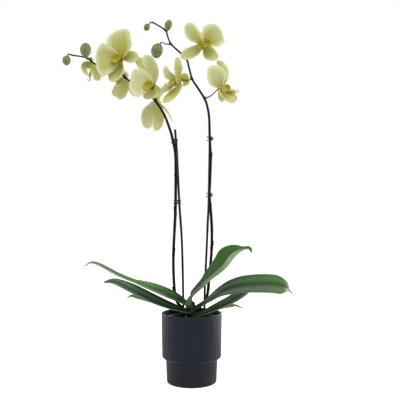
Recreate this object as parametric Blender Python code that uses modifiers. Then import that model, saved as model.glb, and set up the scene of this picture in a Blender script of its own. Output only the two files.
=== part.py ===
"""Potted orchid: a moth orchid with two flower spikes in a ribbed, stepped ceramic cover pot.

Metres, +Z up, the front is -Y. The origin is the centre of the pot's underside.
"""

import math
import random

import bmesh
import bpy
from mathutils import Matrix, Vector

MM = 0.001
FRONT = Vector((0, -1, 0))
UP = Vector((0, 0, 1))
GAP = 0.4 * MM  # clearance between two pieces that touch

POT_HEIGHT = 138 * MM
POT_RIM_RADIUS = 60.5 * MM
POT_STEP_RADIUS = 59 * MM
POT_STEP_HEIGHT = 51 * MM
POT_WAIST_RADIUS = 51.5 * MM
POT_FOOT_RADIUS = 49.5 * MM
POT_WALL = 4 * MM
POT_FLOOR = 6 * MM
POT_RIBS = 62
RIB_DEPTH = 0.9 * MM

GROW_POT_RIM_HEIGHT = 129 * MM
GROW_POT_RIM_RADIUS = 53.5 * MM
GROW_POT_FOOT_RADIUS = 41 * MM
GROW_POT_WALL = 1.2 * MM
DRAIN_HOLES = 5

BARK_TOP = 121 * MM
TEPAL_THICKNESS = 1.0 * MM
LEAF_THICKNESS = 2.0 * MM
HUB_RADIUS = 3.0 * MM
HUB_SPACING = 6.4 * MM
COLUMN_LENGTH = 10 * MM

MATERIALS = {
    # name: colour, roughness
    "ceramic": ((0.022, 0.026, 0.038), 0.5),
    "grow_pot_plastic": ((0.02, 0.02, 0.021), 0.45),
    "bark_chips": ((0.09, 0.05, 0.03), 0.9),
    "crown_green": ((0.06, 0.13, 0.03), 0.5),
    "leaf_green": ((0.07, 0.16, 0.04), 0.4),
    "spike_dark": ((0.018, 0.016, 0.011), 0.45),
    "stake_brown": ((0.05, 0.03, 0.022), 0.5),
    "clip_dark": ((0.02, 0.02, 0.02), 0.4),
    "bud_green": ((0.17, 0.21, 0.06), 0.5),
    "sepal_yellow": ((0.42, 0.41, 0.13), 0.55),
    "petal_yellow": ((0.5, 0.5, 0.22), 0.55),
    "lip_mustard": ((0.38, 0.31, 0.02), 0.4),
}


def mm(x, y, z):
    return Vector((x, y, z)) * MM


# --- scene helpers ---------------------------------------------------------


def clear_scene():
    for obj in list(bpy.data.objects):
        bpy.data.objects.remove(obj, do_unlink=True)


def new_collection(name, hidden=False):
    collection = bpy.data.collections.new(name)
    bpy.context.scene.collection.children.link(collection)
    collection.hide_render = hidden
    return collection


def make_materials():
    made = {}
    for name, (colour, roughness) in MATERIALS.items():
        material = bpy.data.materials.new(name)
        material.use_nodes = True
        shader = material.node_tree.nodes["Principled BSDF"]
        shader.inputs["Base Color"].default_value = (*colour, 1)
        shader.inputs["Roughness"].default_value = roughness
        shader.inputs["Metallic"].default_value = 0
        material.diffuse_color = (*colour, 1)
        made[name] = material
    return made


class Workshop:
    """Holds the two collections and the materials that every piece goes to."""

    def __init__(self):
        clear_scene()
        self.parts = new_collection("potted_orchid")
        self.cutters = new_collection("potted_orchid_cutters", hidden=True)
        self.materials = make_materials()

    def add(self, name, data, cutter=False):
        obj = bpy.data.objects.new(name, data)
        (self.cutters if cutter else self.parts).objects.link(obj)
        if cutter:
            obj.hide_render = True
            obj.display_type = "WIRE"
        return obj

    def finish(self, obj, material):
        obj.data.materials.clear()
        obj.data.materials.append(self.materials[material])
        for polygon in obj.data.polygons:
            polygon.use_smooth = True
        return obj

    def bake(self, obj):
        """Applies an object's modifiers, so that its own mesh holds the result."""
        bpy.context.view_layer.update()
        graph = bpy.context.evaluated_depsgraph_get()
        obj.data = bpy.data.meshes.new_from_object(obj.evaluated_get(graph))
        obj.modifiers.clear()
        return obj

    def combine(self, base, others, operation):
        """Joins or cuts base with others, one by one, and removes them."""
        for other in others:
            step = base.modifiers.new(operation.title(), "BOOLEAN")
            step.operation = operation
            step.solver = "EXACT"
            step.object = other
            self.bake(base)
            bpy.data.objects.remove(other, do_unlink=True)
        return base

    def mesh_of(self, curve_object, name):
        """The mesh of a bevelled curve, its caps welded to its sides."""
        bpy.context.view_layer.update()
        graph = bpy.context.evaluated_depsgraph_get()
        mesh = bpy.data.meshes.new_from_object(curve_object.evaluated_get(graph))
        bpy.data.objects.remove(curve_object, do_unlink=True)
        obj = self.add(name, mesh, cutter=True)
        weld = obj.modifiers.new("Weld", "WELD")
        weld.merge_threshold = 0.00001
        return self.bake(obj)


# --- curves and frames -----------------------------------------------------


def smooth_path(points, steps):
    """A Catmull-Rom curve through the points, with this many steps between each two."""
    ends = [points[0] * 2 - points[1], *points, points[-1] * 2 - points[-2]]
    path = []
    for i in range(1, len(ends) - 2):
        a, b, c, d = ends[i - 1 : i + 3]
        for k in range(steps):
            t = k / steps
            path.append(
                0.5 * (2 * b + (c - a) * t + (2 * a - 5 * b + 4 * c - d) * t * t
                       + (3 * b - a - 3 * c + d) * t ** 3)
            )
    path.append(points[-1].copy())
    return path


def along(path, share):
    """The point at this share of the path's length."""
    lengths = [0.0]
    for a, b in zip(path, path[1:]):
        lengths.append(lengths[-1] + (b - a).length)
    wanted = share * lengths[-1]
    for i in range(len(path) - 1):
        if wanted <= lengths[i + 1]:
            part = (wanted - lengths[i]) / (lengths[i + 1] - lengths[i])
            return path[i].lerp(path[i + 1], part)
    return path[-1].copy()


def tube(shop, name, path, radii, sides=3):
    """A closed tube along the path. radii are its first and last radius."""
    curve = bpy.data.curves.new(name, "CURVE")
    curve.dimensions = "3D"
    curve.bevel_depth = 1.0
    curve.bevel_resolution = sides - 2
    curve.use_fill_caps = True
    spline = curve.splines.new("POLY")
    spline.points.add(len(path) - 1)
    for i, (point, spot) in enumerate(zip(spline.points, path)):
        point.co = (*spot, 1)
        share = i / (len(path) - 1)
        point.radius = radii[0] + (radii[1] - radii[0]) * share
    return shop.mesh_of(shop.add(name, curve, cutter=True), name)


def promote(shop, obj, name, material):
    """Moves a helper mesh to the parts, as the node of this name."""
    shop.cutters.objects.unlink(obj)
    shop.parts.objects.link(obj)
    obj.hide_render = False
    obj.display_type = "TEXTURED"
    obj.name = name
    return shop.finish(obj, material)


def ball(shop, name, centre, radii, segments=8, rings=5, axis=UP):
    """An ellipsoid, its third radius along axis."""
    mesh = bpy.data.meshes.new(name)
    shape = bmesh.new()
    bmesh.ops.create_uvsphere(shape, u_segments=segments, v_segments=rings, radius=1)
    turn = UP.rotation_difference(axis.normalized()).to_matrix().to_4x4()
    turn = turn @ Matrix.Rotation(0.37, 4, "Z")
    size = Matrix.Diagonal((*radii, 1))
    bmesh.ops.transform(shape, matrix=Matrix.Translation(centre) @ turn @ size, verts=shape.verts)
    shape.to_mesh(mesh)
    shape.free()
    return shop.add(name, mesh, cutter=True)


# --- blades: leaves and tepals --------------------------------------------


def outline(t, base, peak, sharp):
    """Half-width of a blade, 0 to 1, at share t of its length."""
    if t < peak:
        return base + (1 - base) * math.sin(0.5 * math.pi * t / peak)
    x = (t - peak) / (1 - peak)
    return max((1 - x * x) ** sharp, 0.07)


def blade(shop, name, path, half, normal, front=FRONT, roll=(0, 0), fold=(0, 0), cup=0.0,
          shape=(0.3, 0.55, 0.5), rings=6, across=4, thickness=TEPAL_THICKNESS, start=0.0):
    """A thin closed blade along the path. roll tips its face to the front, fold lifts both halves."""
    verts = []
    for i in range(rings + 1):
        t = 1 - (1 - i / rings) ** 1.35
        here = along(path, t)
        ahead = along(path, min(1, t + 0.03))
        behind = along(path, max(0, t - 0.03))
        tangent = (ahead - behind).normalized()
        face = (normal - tangent * normal.dot(tangent)).normalized()
        side = (front - tangent * front.dot(tangent) - face * front.dot(face))
        if side.length < 1e-6:
            side = tangent.cross(face)
        side.normalize()
        angle = math.radians(roll[0] + (roll[1] - roll[0]) * t)
        face = face * math.cos(angle) + side * math.sin(angle)
        width = tangent.cross(face)
        lift = math.radians(fold[0] + (fold[1] - fold[0]) * t)
        size = half * outline(t, *shape)
        for k in range(across + 1):
            s = 2 * k / across - 1
            spot = here + width * (s * size * math.cos(lift))
            spot += face * (abs(s) * size * math.sin(lift) + cup * s * s * size)
            verts.append(spot)
    row = across + 1
    faces = []
    for i in range(rings):
        for k in range(across):
            faces.append((i * row + k, i * row + k + 1, (i + 1) * row + k + 1, (i + 1) * row + k))
    mesh = bpy.data.meshes.new(name)
    mesh.from_pydata([v[:] for v in verts], [], faces)
    obj = shop.add(name, mesh, cutter=True)
    shell = obj.modifiers.new("Thickness", "SOLIDIFY")
    shell.thickness = thickness
    shell.offset = 0
    return shop.bake(obj)


def bent_line(start, end, bow, steps=8):
    """A path from start to end that bows sideways by the vector bow at its middle."""
    middle = (start + end) / 2 + bow * 2
    path = []
    for i in range(steps + 1):
        t = i / steps
        path.append(start * (1 - t) ** 2 + middle * (2 * t * (1 - t)) + end * t * t)
    return path


# --- pot, grow pot, bark ---------------------------------------------------


def turned(shop, name, profile, steps):
    """A solid of revolution from (radius, height) points that run down its outside."""
    mesh = bpy.data.meshes.new(name)
    edges = [(i, i + 1) for i in range(len(profile) - 1)]
    mesh.from_pydata([(r, 0, z) for r, z in profile], edges, [])
    obj = shop.add(name, mesh, cutter=True)
    screw = obj.modifiers.new("Turn", "SCREW")
    screw.steps = steps
    screw.render_steps = steps
    screw.use_merge_vertices = True
    screw.merge_threshold = 0.00005
    screw.use_normal_calculate = True
    return shop.bake(obj)


def make_pot(shop):
    rim = POT_RIM_RADIUS
    step = POT_STEP_HEIGHT
    inner_top = rim - POT_WALL
    inner_step = POT_STEP_RADIUS - POT_WALL
    inner_low = POT_WAIST_RADIUS - POT_WALL - 1 * MM
    profile = [
        (0, POT_FLOOR),
        (inner_low, POT_FLOOR),
        (inner_low, step - 1 * MM),
        (inner_step, step + 7 * MM),
        (inner_top, POT_HEIGHT - 1.2 * MM),
        (inner_top + 1.2 * MM, POT_HEIGHT),
        (rim - 1.2 * MM, POT_HEIGHT),
        (rim, POT_HEIGHT - 1.4 * MM),
        (POT_STEP_RADIUS, step + 2.5 * MM),
        (POT_STEP_RADIUS - 2.2 * MM, step),
        (POT_WAIST_RADIUS, step - 4.5 * MM),
        (POT_FOOT_RADIUS, 4 * MM),
        (POT_FOOT_RADIUS - 3.5 * MM, 0),
        (0, 0),
    ]
    pot = turned(shop, "pot", profile, 2 * POT_RIBS)
    for vertex in pot.data.vertices:
        radius = math.hypot(vertex.co.x, vertex.co.y)
        outside = radius > rim - 2.2 * MM or (vertex.co.z < step and radius > POT_FOOT_RADIUS - 1 * MM)
        on_band = vertex.co.z < POT_HEIGHT - 0.5 * MM
        angle = math.atan2(vertex.co.y, vertex.co.x)
        column = round(angle / math.pi * POT_RIBS)
        if outside and on_band and vertex.co.z > 2 * MM and column % 2:
            shrink = (radius - RIB_DEPTH) / radius
            vertex.co.x *= shrink
            vertex.co.y *= shrink
    return promote(shop, pot, "pot", "ceramic")


def grow_pot_radius(height):
    foot = POT_FLOOR + GAP
    share = (height - foot) / (GROW_POT_RIM_HEIGHT - foot)
    return GROW_POT_FOOT_RADIUS + (GROW_POT_RIM_RADIUS - 2 * MM - GROW_POT_FOOT_RADIUS) * share


def make_grow_pot(shop):
    foot = POT_FLOOR + GAP
    top = GROW_POT_RIM_HEIGHT
    wall = GROW_POT_WALL
    profile = [
        (0, foot + wall),
        (GROW_POT_FOOT_RADIUS - wall, foot + wall),
        (grow_pot_radius(top) - wall, top),
        (GROW_POT_RIM_RADIUS, top),
        (GROW_POT_RIM_RADIUS, top - 5 * MM),
        (GROW_POT_RIM_RADIUS - 1 * MM, top - 5 * MM),
        (grow_pot_radius(top - 4 * MM), top - 4 * MM),
        (GROW_POT_FOOT_RADIUS, foot),
        (0, foot),
    ]
    pot = turned(shop, "grow_pot", profile, 48)
    holes = []
    for i in range(DRAIN_HOLES):
        angle = 2 * math.pi * i / DRAIN_HOLES
        spot = Vector((math.cos(angle), math.sin(angle), 0)) * 26 * MM
        spot.z = foot
        path = [spot - UP * 4 * MM, spot + UP * 6 * MM]
        holes.append(tube(shop, f"drain_{i}", path, (4 * MM, 4 * MM)))
    shop.combine(pot, holes, "DIFFERENCE")
    return promote(shop, pot, "grow_pot", "grow_pot_plastic")


def make_bark(shop, cutters):
    floor = POT_FLOOR + GAP + GROW_POT_WALL + GAP
    side = GROW_POT_WALL + 0.5 * MM
    rng = random.Random(5)
    rings = 7
    columns = 20
    top_radius = grow_pot_radius(BARK_TOP) - side - 1.5 * MM
    profile = [(0, BARK_TOP)]
    for i in range(1, rings):
        profile.append((top_radius * i / (rings - 1), BARK_TOP))
    middle = 0.6 * BARK_TOP
    profile.append((grow_pot_radius(middle) - side, middle))
    profile.append((grow_pot_radius(floor) - side, floor))
    profile.append((0, floor))
    bark = turned(shop, "bark", profile, columns)
    for vertex in bark.data.vertices:
        radius = math.hypot(vertex.co.x, vertex.co.y)
        if vertex.co.z > BARK_TOP - 1 * MM and radius > 12 * MM:
            vertex.co.z += rng.uniform(-3.5, 2.5) * MM
    shop.combine(bark, cutters, "DIFFERENCE")
    return promote(shop, bark, "bark", "bark_chips")


# --- leaves and crown ------------------------------------------------------

LEAVES = {
    "leaf_left_long": dict(
        spine=[(-4.5, -3, 148), (-31, -10, 163), (-81, -14, 186.5), (-140, -16, 213),
               (-192, -16, 239), (-215, -16, 230)],
        half=21, up=(0.3, 0, 1), roll=(15, 0), fold=(8, 3), shape=(0.32, 0.4, 0.62)),
    "leaf_left_low": dict(
        spine=[(-5, -6, 138.5), (-30, -22, 148), (-55, -31, 157), (-80, -36, 168.5),
               (-110, -40, 185), (-135, -42, 198), (-152, -43, 204.5), (-170, -44, 204)],
        half=24, up=(0.3, 0, 1), roll=(12, 16), fold=(24, 10), shape=(0.32, 0.5, 0.6)),
    "leaf_left_rear": dict(
        spine=[(-6, 5, 133), (-30, 10, 141), (-60, 24, 149), (-85, 38, 154), (-112, 47, 160),
               (-127, 48, 163.5), (-136, 49, 158)],
        half=13, up=(0.2, 0, 1), roll=(0, 12), fold=(14, 6), shape=(0.4, 0.6, 0.5)),
    "leaf_upright": dict(
        spine=[(1, -2, 152), (-0.5, -9, 168), (8, -17, 185), (18, -24, 199), (30, -29, 211.5),
               (45, -31, 221.5), (62, -32, 231), (78, -32, 241.5), (92, -32, 253),
               (104, -32, 262), (116, -32, 260)],
        half=29, up=(-0.6, 0, 0.8), roll=(8, 28), fold=(22, 42), shape=(0.24, 0.68, 0.5)),
    "leaf_right_broad": dict(
        spine=[(5, -3, 146), (22.5, -10, 156), (40, -20, 170), (57.5, -28, 183), (71, -33, 191.5),
               (94.5, -37, 198), (114, -39, 200.5), (137, -40, 201.5), (162, -40, 200.5),
               (183, -40, 196), (193, -40, 189.5), (199, -40, 180)],
        half=31, up=(-0.2, 0, 1), roll=(20, 28), fold=(14, -5), shape=(0.22, 0.6, 0.45)),
    "leaf_right_low": dict(
        spine=[(5.5, -7, 133), (28, -22, 139.5), (50, -24, 148.5), (76, -20, 160), (94, -16, 170.5),
               (108, -12, 180.5), (122, -8, 189), (136, -4, 194)],
        half=20, up=(-0.3, 0, 1), roll=(12, 14), fold=(16, 10), shape=(0.32, 0.5, 0.6)),
    "leaf_right_rear": dict(
        spine=[(6, 5, 131.5), (30, 10, 137.5), (58, 20, 143.5), (76, 25, 146), (89, 27, 147.5),
               (103, 28, 142)],
        half=9, up=(-0.1, 0, 1), roll=(0, 10), fold=(10, 6), shape=(0.5, 0.6, 0.5)),
}


def leaf_blade(shop, name, spec, thickness, grow=0.0):
    """A leaf, or with grow the larger copy of it that cuts its slot."""
    path = smooth_path([mm(*p) for p in spec["spine"]], 6)
    path[0] += (path[0] - path[1]).normalized() * grow
    return blade(shop, name, path, spec["half"] * MM + 3 * grow, Vector(spec["up"]).normalized(),
                 roll=spec["roll"], fold=spec["fold"], shape=spec["shape"],
                 rings=11, across=4, thickness=thickness)


def make_leaves(shop):
    for name, spec in LEAVES.items():
        leaf = leaf_blade(shop, name, spec, LEAF_THICKNESS)
        promote(shop, leaf, name, "leaf_green")


def make_crown(shop, spike_cutters):
    """The short stem. Leaf bases and spikes sit in slots cut into it."""
    low = BARK_TOP + 0.3 * MM
    height = 40 * MM
    crown = ball(shop, "crown", Vector((0, 0, low + height / 2)),
                 (9.5 * MM, 9.5 * MM, height / 2), segments=14, rings=9)
    cutters = []
    for name, spec in LEAVES.items():
        cutters.append(leaf_blade(shop, name + "_slot", spec, LEAF_THICKNESS + 2 * GAP, 0.8 * MM))
    shop.combine(crown, cutters + spike_cutters, "DIFFERENCE")
    return promote(shop, crown, "crown", "crown_green")


# --- stakes and clips ------------------------------------------------------

STAKES = {
    "stake_left": [(-16, 25, 30), (-17.5, 22.5, 160), (-20, 18.5, 275), (-25.5, 16, 360),
                   (-30, 15.2, 457), (-32.2, 15, 483), (-33.8, 15, 506)],
    "stake_right": [(25, 25, 30), (26, 23, 168), (29.5, 21, 250), (32.5, 19.5, 320),
                    (34, 19, 353), (35.3, 18.6, 420), (36.5, 18.5, 495)],
}
STAKE_RADIUS = 1.7 * MM


def make_stakes(shop):
    """Makes both stakes, and returns the cutters for their holes in the bark."""
    holes = []
    for name, points in STAKES.items():
        path = smooth_path([mm(*p) for p in points], 2)
        stake = tube(shop, name, path, (STAKE_RADIUS, STAKE_RADIUS), sides=3)
        promote(shop, stake, name, "stake_brown")
        low = path[0] - UP * GAP
        high = path[0].lerp(path[2], 1.0)
        holes.append(tube(shop, name + "_hole", [low, path[1], high],
                          (STAKE_RADIUS + GAP, STAKE_RADIUS + GAP), sides=3))
    return holes


# node name: stem centre, stake centre
CLIPS = {
    "clip_left_low": ((-32.7, 12, 359), (-25.4, 16, 359)),
    "clip_left_high": ((-37.9, 12, 482), (-32.1, 15, 482)),
    "clip_right_low": ((35.6, 12, 373), (34.4, 18.9, 373)),
    "clip_right_high": ((36.3, 12, 487), (36.4, 18.5, 487)),
}
CLIP_HEIGHT = 7 * MM


def make_clips(shop):
    """A clip is two rings side by side, one on the stem and one on the stake, with a finger tab."""
    half = UP * CLIP_HEIGHT / 2
    for name, (stem, stake) in CLIPS.items():
        a = mm(*stem)
        b = mm(*stake)
        away = (b - a).normalized()
        across = away.cross(UP)
        body = tube(shop, name, [a - half, a + half], (4.6 * MM, 4.6 * MM), sides=4)
        other = tube(shop, name + "_ring", [b - half, b + half], (3.6 * MM, 3.6 * MM), sides=4)
        bridge = tube(shop, name + "_bridge", [a, b], (2.6 * MM, 2.6 * MM), sides=3)
        tab_start = b + away * 2.6 * MM
        tab_end = b + away * 6.5 * MM + across * 2.2 * MM
        tab = tube(shop, name + "_tab", [tab_start, tab_end], (1.2 * MM, 0.9 * MM), sides=3)
        shop.combine(body, [other, bridge, tab], "UNION")
        bores = []
        for middle, radius in ((a, 3.5 * MM), (b, 2.6 * MM)):
            bores.append(tube(shop, name + "_bore", [middle - 2 * half, middle + 2 * half],
                              (radius, radius), sides=4))
        shop.combine(body, bores, "DIFFERENCE")
        promote(shop, body, name, "clip_dark")


# --- flowers ---------------------------------------------------------------

# Each tepal: offset of its tip from the flower's hub, full width, bow of its middle, roll, all in mm
# and degrees. face is where the flower looks, lip the offset of the lip's tip from the hub.
FLOWERS = {
    "left_a": dict(
        hub=(-72, 34, 566), face=(-0.25, 0.9, -0.35), back=(-0.1, -0.6, 0.8),
        sepals=[((-3, -4, -61), 24, (6, -1, 0), 0), ((33, 14, -43), 17, (4, 2, 3), 78),
                ((-10, 32, 30), 22, (0, 4, 4), 0)],
        petals=[((-16, 6, -54), 28, (-9, 0, 3), 0), ((0, 38, 12), 20, (0, 4, 0), 0)],
        lip=(-8, 34, -26)),
    "left_b": dict(
        hub=(-72, -20, 588), face=(-0.5, -0.86, 0), back=(0.5, 0.86, 0.1),
        sepals=[((-41, 18, 60), 22, (4, 4, 4), 0), ((10, 10, -20), 20, (2, 2, 0), 0),
                ((-14, 0, -27), 36, (-2, 2, -2), 0)],
        petals=[((-48, 6, 10), 58, (-4, -4, 1), 0), ((-22, 0, 54), 30, (11, -4, 4), 12)],
        lip=(-20, -30, -9)),
    "left_c": dict(
        hub=(-137, 30, 613), face=(-0.4, 0.85, -0.35), back=(0.1, -0.6, 0.8),
        sepals=[((-13, -4, -44), 22, (4, -1, 0), 0), ((20, 5, -37), 18, (3, 0, 0), -20),
                ((-6, 34, 22), 20, (0, 4, 3), 0)],
        petals=[((-20, 7, -36), 20, (-3, 0, 0), 0), ((2, 38, 10), 18, (0, 4, 0), 0)],
        lip=(-22, 28, -30)),
    "left_d": dict(
        hub=(-138, -20, 640), face=(-0.3, -0.95, 0.05), back=(0.2, 0.95, -0.15),
        sepals=[((-32, 12, 28), 27, (0, 2, 2), 0), ((33, 6, 4), 26, (0, 2, 3), 0),
                ((-19, -2, -45), 30, (0, 2, -1), 0)],
        petals=[((-48, 4, -3), 58, (-2, -3, 0), 0), ((-1, 0, 55), 50, (1, -4, 2), 0)],
        lip=(-13, -34, -11)),
    "left_e": dict(
        hub=(-205, 24, 644), face=(-0.5, 0.75, -0.45), back=(0.1, -0.8, 0.6),
        sepals=[((-5, 0, -28), 12, (-11, 0, 4), 20), ((14, 0, -38), 18, (3, -2, 1), 0),
                ((-4, 26, 16), 16, (0, 3, 2), 0)],
        petals=[((-18, 16, -12), 14, (-3, 2, 3), 0), ((5, 30, 6), 14, (0, 3, 0), 0)],
        lip=(-8, 22, -34)),
    "right_a": dict(
        hub=(56, 5, 588), face=(0.92, -0.36, -0.1), back=(-0.75, 0.1, -0.6),
        sepals=[((-13, 6, 40), 20, (-2, 1, 0), 0), ((35, -4, -22), 22, (-3, 0, -4), 0),
                ((6, 14, -26), 13, (0, 3, 0), -80)],
        petals=[((-14, -18, 42), 38, (-2, -6, -1), 42), ((-5, 14, 52), 20, (11, 4, 1), -78)],
        lip=(37, -13, -9)),
    "right_b": dict(
        hub=(-24, 12, 605), face=(-0.83, -0.55, -0.05), back=(0.95, 0.1, 0.05),
        sepals=[((-34, -2, -45), 22, (12, 0, 2), 15), ((6, 8, -17), 28, (2, 2, 4), 0),
                ((-7, 10, 48), 32, (2, 2, 0), 0)],
        petals=[((-30, 14, 30), 22, (-4, 0, -4), 0), ((-36, -2, -28), 24, (-4, 0, -2), 0)],
        lip=(-28, -22, -14)),
    "right_c": dict(
        hub=(23, -8, 671), face=(0.05, -0.99, 0.1), back=(-0.6, 0.7, -0.3),
        sepals=[((-5, 20, 30), 20, (0, 3, 2), 0), ((-45, 6, -23), 24, (0, 2, -2), 0),
                ((29, 4, -27), 27, (-1, 2, -2), 0)],
        petals=[((-27, 3, 44), 29, (-7, -3, -1), 0), ((36, 3, 27), 50, (2, -3, 4), 0)],
        lip=(4, -30, -8)),
}
TEPAL_SHAPE = (0.28, 0.55, 0.5)
PETAL_SHAPE = (0.2, 0.6, 0.5)


def flower_layer(shop, name, centre, hub, face, tepals, shape, rings):
    """Blades that grow from one small hub, joined with it."""
    core = ball(shop, name, centre, (HUB_RADIUS,) * 3, segments=6, rings=4, axis=face)
    blades = []
    for i, (tip, width, bow, roll) in enumerate(tepals):
        end = hub + mm(*tip) + (centre - hub)
        start = centre + (end - centre).normalized() * 0.9 * MM
        path = bent_line(start, end, mm(*bow))
        side = face.cross(end - centre)
        blades.append(blade(shop, f"{name}_{i}", path, width * MM / 2, face, front=side,
                            roll=(roll, roll), cup=0.12, shape=shape, rings=rings))
    return shop.combine(core, blades, "UNION")


def lip_outline(t):
    """Half-width of the lip, in mm: two side lobes, a waist and a middle lobe."""
    side = 11.5 * math.exp(-((t - 0.4) / 0.19) ** 2)
    middle = 7.5 * math.exp(-((t - 0.8) / 0.16) ** 2)
    return max(side + middle, 1.6)


def make_lip(shop, name, start, end, face):
    """A cupped three-lobed lip with two curled whiskers at its tip."""
    out = (end - start).normalized()
    up = face - out * face.dot(out)
    if up.length < 0.3:
        up = UP - out * UP.dot(out)
    up = up.normalized()
    across_dir = out.cross(up)
    length = (end - start).length
    rings, across = 5, 4
    verts = []
    for i in range(rings + 1):
        t = i / rings
        centre = start + out * (t * length) - up * (math.sin(t * math.pi) * 3.5 * MM)
        lift = math.radians(70 - 50 * t)
        for k in range(across + 1):
            s = 2 * k / across - 1
            size = lip_outline(t) * MM
            spot = centre + across_dir * (s * size * math.cos(lift))
            verts.append(spot + up * (abs(s) ** 1.4 * size * math.sin(lift)))
    row = across + 1
    faces = []
    for i in range(rings):
        for k in range(across):
            faces.append((i * row + k, i * row + k + 1, (i + 1) * row + k + 1, (i + 1) * row + k))
    mesh = bpy.data.meshes.new(name)
    mesh.from_pydata([v[:] for v in verts], [], faces)
    lip = shop.add(name, mesh, cutter=True)
    shell = lip.modifiers.new("Thickness", "SOLIDIFY")
    shell.thickness = 1.1 * MM
    shell.offset = 0
    shop.bake(lip)
    whiskers = []
    for sign in (-1, 1):
        path = [end - out * 1.5 * MM + across_dir * sign * 0.8 * MM]
        for i in range(5):
            angle = math.radians(-50 + 62 * i)
            turn = out * math.cos(angle) + up * math.sin(angle)
            grow = across_dir * sign * (1.4 + 0.8 * i) * MM
            path.append(end + up * 2.6 * MM + turn * 3.2 * MM + grow)
        whiskers.append(tube(shop, f"{name}_whisker", path, (0.75 * MM, 0.5 * MM), sides=2))
    shop.combine(lip, whiskers, "UNION")
    return lip


def flower_hub(spec):
    return mm(*spec["hub"])


def make_flower(shop, key, spec):
    hub = flower_hub(spec)
    face = Vector(spec["face"]).normalized()
    front_hub = hub + face * HUB_SPACING
    sepals = flower_layer(shop, f"sepals_{key}", hub, hub, face, spec["sepals"], TEPAL_SHAPE, 4)
    promote(shop, sepals, f"sepals_{key}", "sepal_yellow")
    petals = flower_layer(shop, f"petals_{key}", front_hub, hub, face, spec["petals"], PETAL_SHAPE, 5)
    column = tube(shop, f"column_{key}", [front_hub, front_hub + face * COLUMN_LENGTH],
                  (2.4 * MM, 2.0 * MM), sides=3)
    shop.combine(petals, [column], "UNION")
    promote(shop, petals, f"petals_{key}", "petal_yellow")
    tip = hub + mm(*spec["lip"])
    reach = tip - front_hub
    drop = reach - face * reach.dot(face)
    if drop.length < 3 * MM:
        drop = FRONT - UP * 2
        drop -= face * drop.dot(face)
    drop = drop.normalized()
    start = front_hub + drop * 3.6 * MM + face * 7 * MM
    lip = make_lip(shop, f"lip_{key}", start, tip + drop * 2 * MM, face * 0.4 - drop)
    promote(shop, lip, f"lip_{key}", "lip_mustard")


# --- buds ------------------------------------------------------------------

# node name: centre, radii (side, side, along), axis, direction from the centre to the stalk
BUDS = {
    "bud_left_inner": ((-211, -5, 662), (11, 10.5, 14), (0.05, 0, 1), (0.1, 0.5, -0.9)),
    "bud_left_tip": ((-252.5, 11, 644.5), (8.2, 8, 9.9), (0.1, 0, 1), (0.25, 0, 1)),
    "bud_right_lower": ((-70, 11, 664), (11.8, 11.5, 15.3), (0.25, 0, 1), (0.45, 0, 0.9)),
    "bud_right_upper": ((-46.5, 1, 713), (7.3, 7.2, 10.8), (0.25, 0, 1), (-0.2, 0.5, -0.8)),
    "bud_right_tip": ((-90.5, 11, 711.5), (6.2, 6.1, 7.4), (0.3, 0, 1), (0.6, 0, 0.8)),
}


def ellipsoid_reach(radii, axis, direction):
    """The distance from an ellipsoid's centre to its surface."""
    along_axis = direction.normalized().dot(axis.normalized())
    across = math.sqrt(max(0, 1 - along_axis ** 2))
    return 1 / math.sqrt((along_axis / radii[2]) ** 2 + (across / radii[0]) ** 2)


def make_buds(shop):
    for name, (centre, radii, axis, _) in BUDS.items():
        bud = ball(shop, name, mm(*centre), [r * MM for r in radii], segments=10, rings=7,
                   axis=Vector(axis))
        promote(shop, bud, name, "bud_green")


# --- spikes ----------------------------------------------------------------

LEFT_STEM = [(-5, 6, 137), (-20, 11, 147), (-31, 12, 160), (-35, 12, 185), (-37, 12, 222),
             (-37, 12, 256), (-35, 12, 300), (-33, 12, 340), (-32.5, 12, 380), (-32.3, 12, 420),
             (-33, 12, 455), (-37.9, 12, 482), (-44, 12, 505), (-57, 12, 538), (-75, 12, 565),
             (-90, 12, 581), (-109, 12, 594), (-129, 12, 606), (-142, 12, 616), (-165, 12, 627),
             (-185, 12, 633), (-199, 12, 640), (-208, 12, 648), (-222, 12, 652.5), (-241, 12, 655)]
RIGHT_STEM = [(5, 6, 137), (19, 11, 150), (31, 12, 170), (36, 12, 215), (40, 12, 262),
              (40.5, 12, 305), (38, 12, 345), (35.6, 12, 373), (37, 12, 410), (38, 12, 450),
              (36.3, 12, 487), (35, 12, 530), (30.5, 12, 555), (25, 12, 569), (13, 12, 588),
              (1, 12, 607), (-5.5, 12, 630), (-11, 12, 648.5), (-23, 12, 660), (-41, 12, 677),
              (-48, 12, 691), (-53, 12, 705), (-69, 12, 716), (-80, 12, 722)]
# what hangs on each spike: start on the stem, then the points to pass
LEFT_STALKS = {
    "left_a": [(-72, 12, 562), (-73, 22, 572)],
    "left_b": [(-85, 12, 576), (-74, 6, 590)],
    "left_c": [(-134, 12, 609), (-136, 20, 620)],
    "left_d": [(-150, 12, 620), (-142, 4, 636)],
    "left_e": [(-203, 12, 643), (-204, 16, 651)],
    "bud_left_inner": [(-209, 12, 648.5), (-210, 6, 645)],
    "bud_left_tip": [(-240, 12, 655), (-247, 12, 656.5)],
}
RIGHT_STALKS = {
    "right_a": [(26, 12, 568), (38, 11, 573)],
    "right_b": [(1, 12, 607), (-10, 12, 604.5)],
    "right_c": [(-11, 12, 648), (4, 8, 657)],
    "bud_right_lower": [(-41, 12, 677), (-52, 12, 678)],
    "bud_right_upper": [(-53, 12, 704.5), (-50.5, 8, 701)],
    "bud_right_tip": [(-79, 12, 721.7), (-84, 12, 721)],
}
STEM_RADII = (2.5 * MM, 1.5 * MM)
STALK_RADII = (1.5 * MM, 1.25 * MM)


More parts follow.
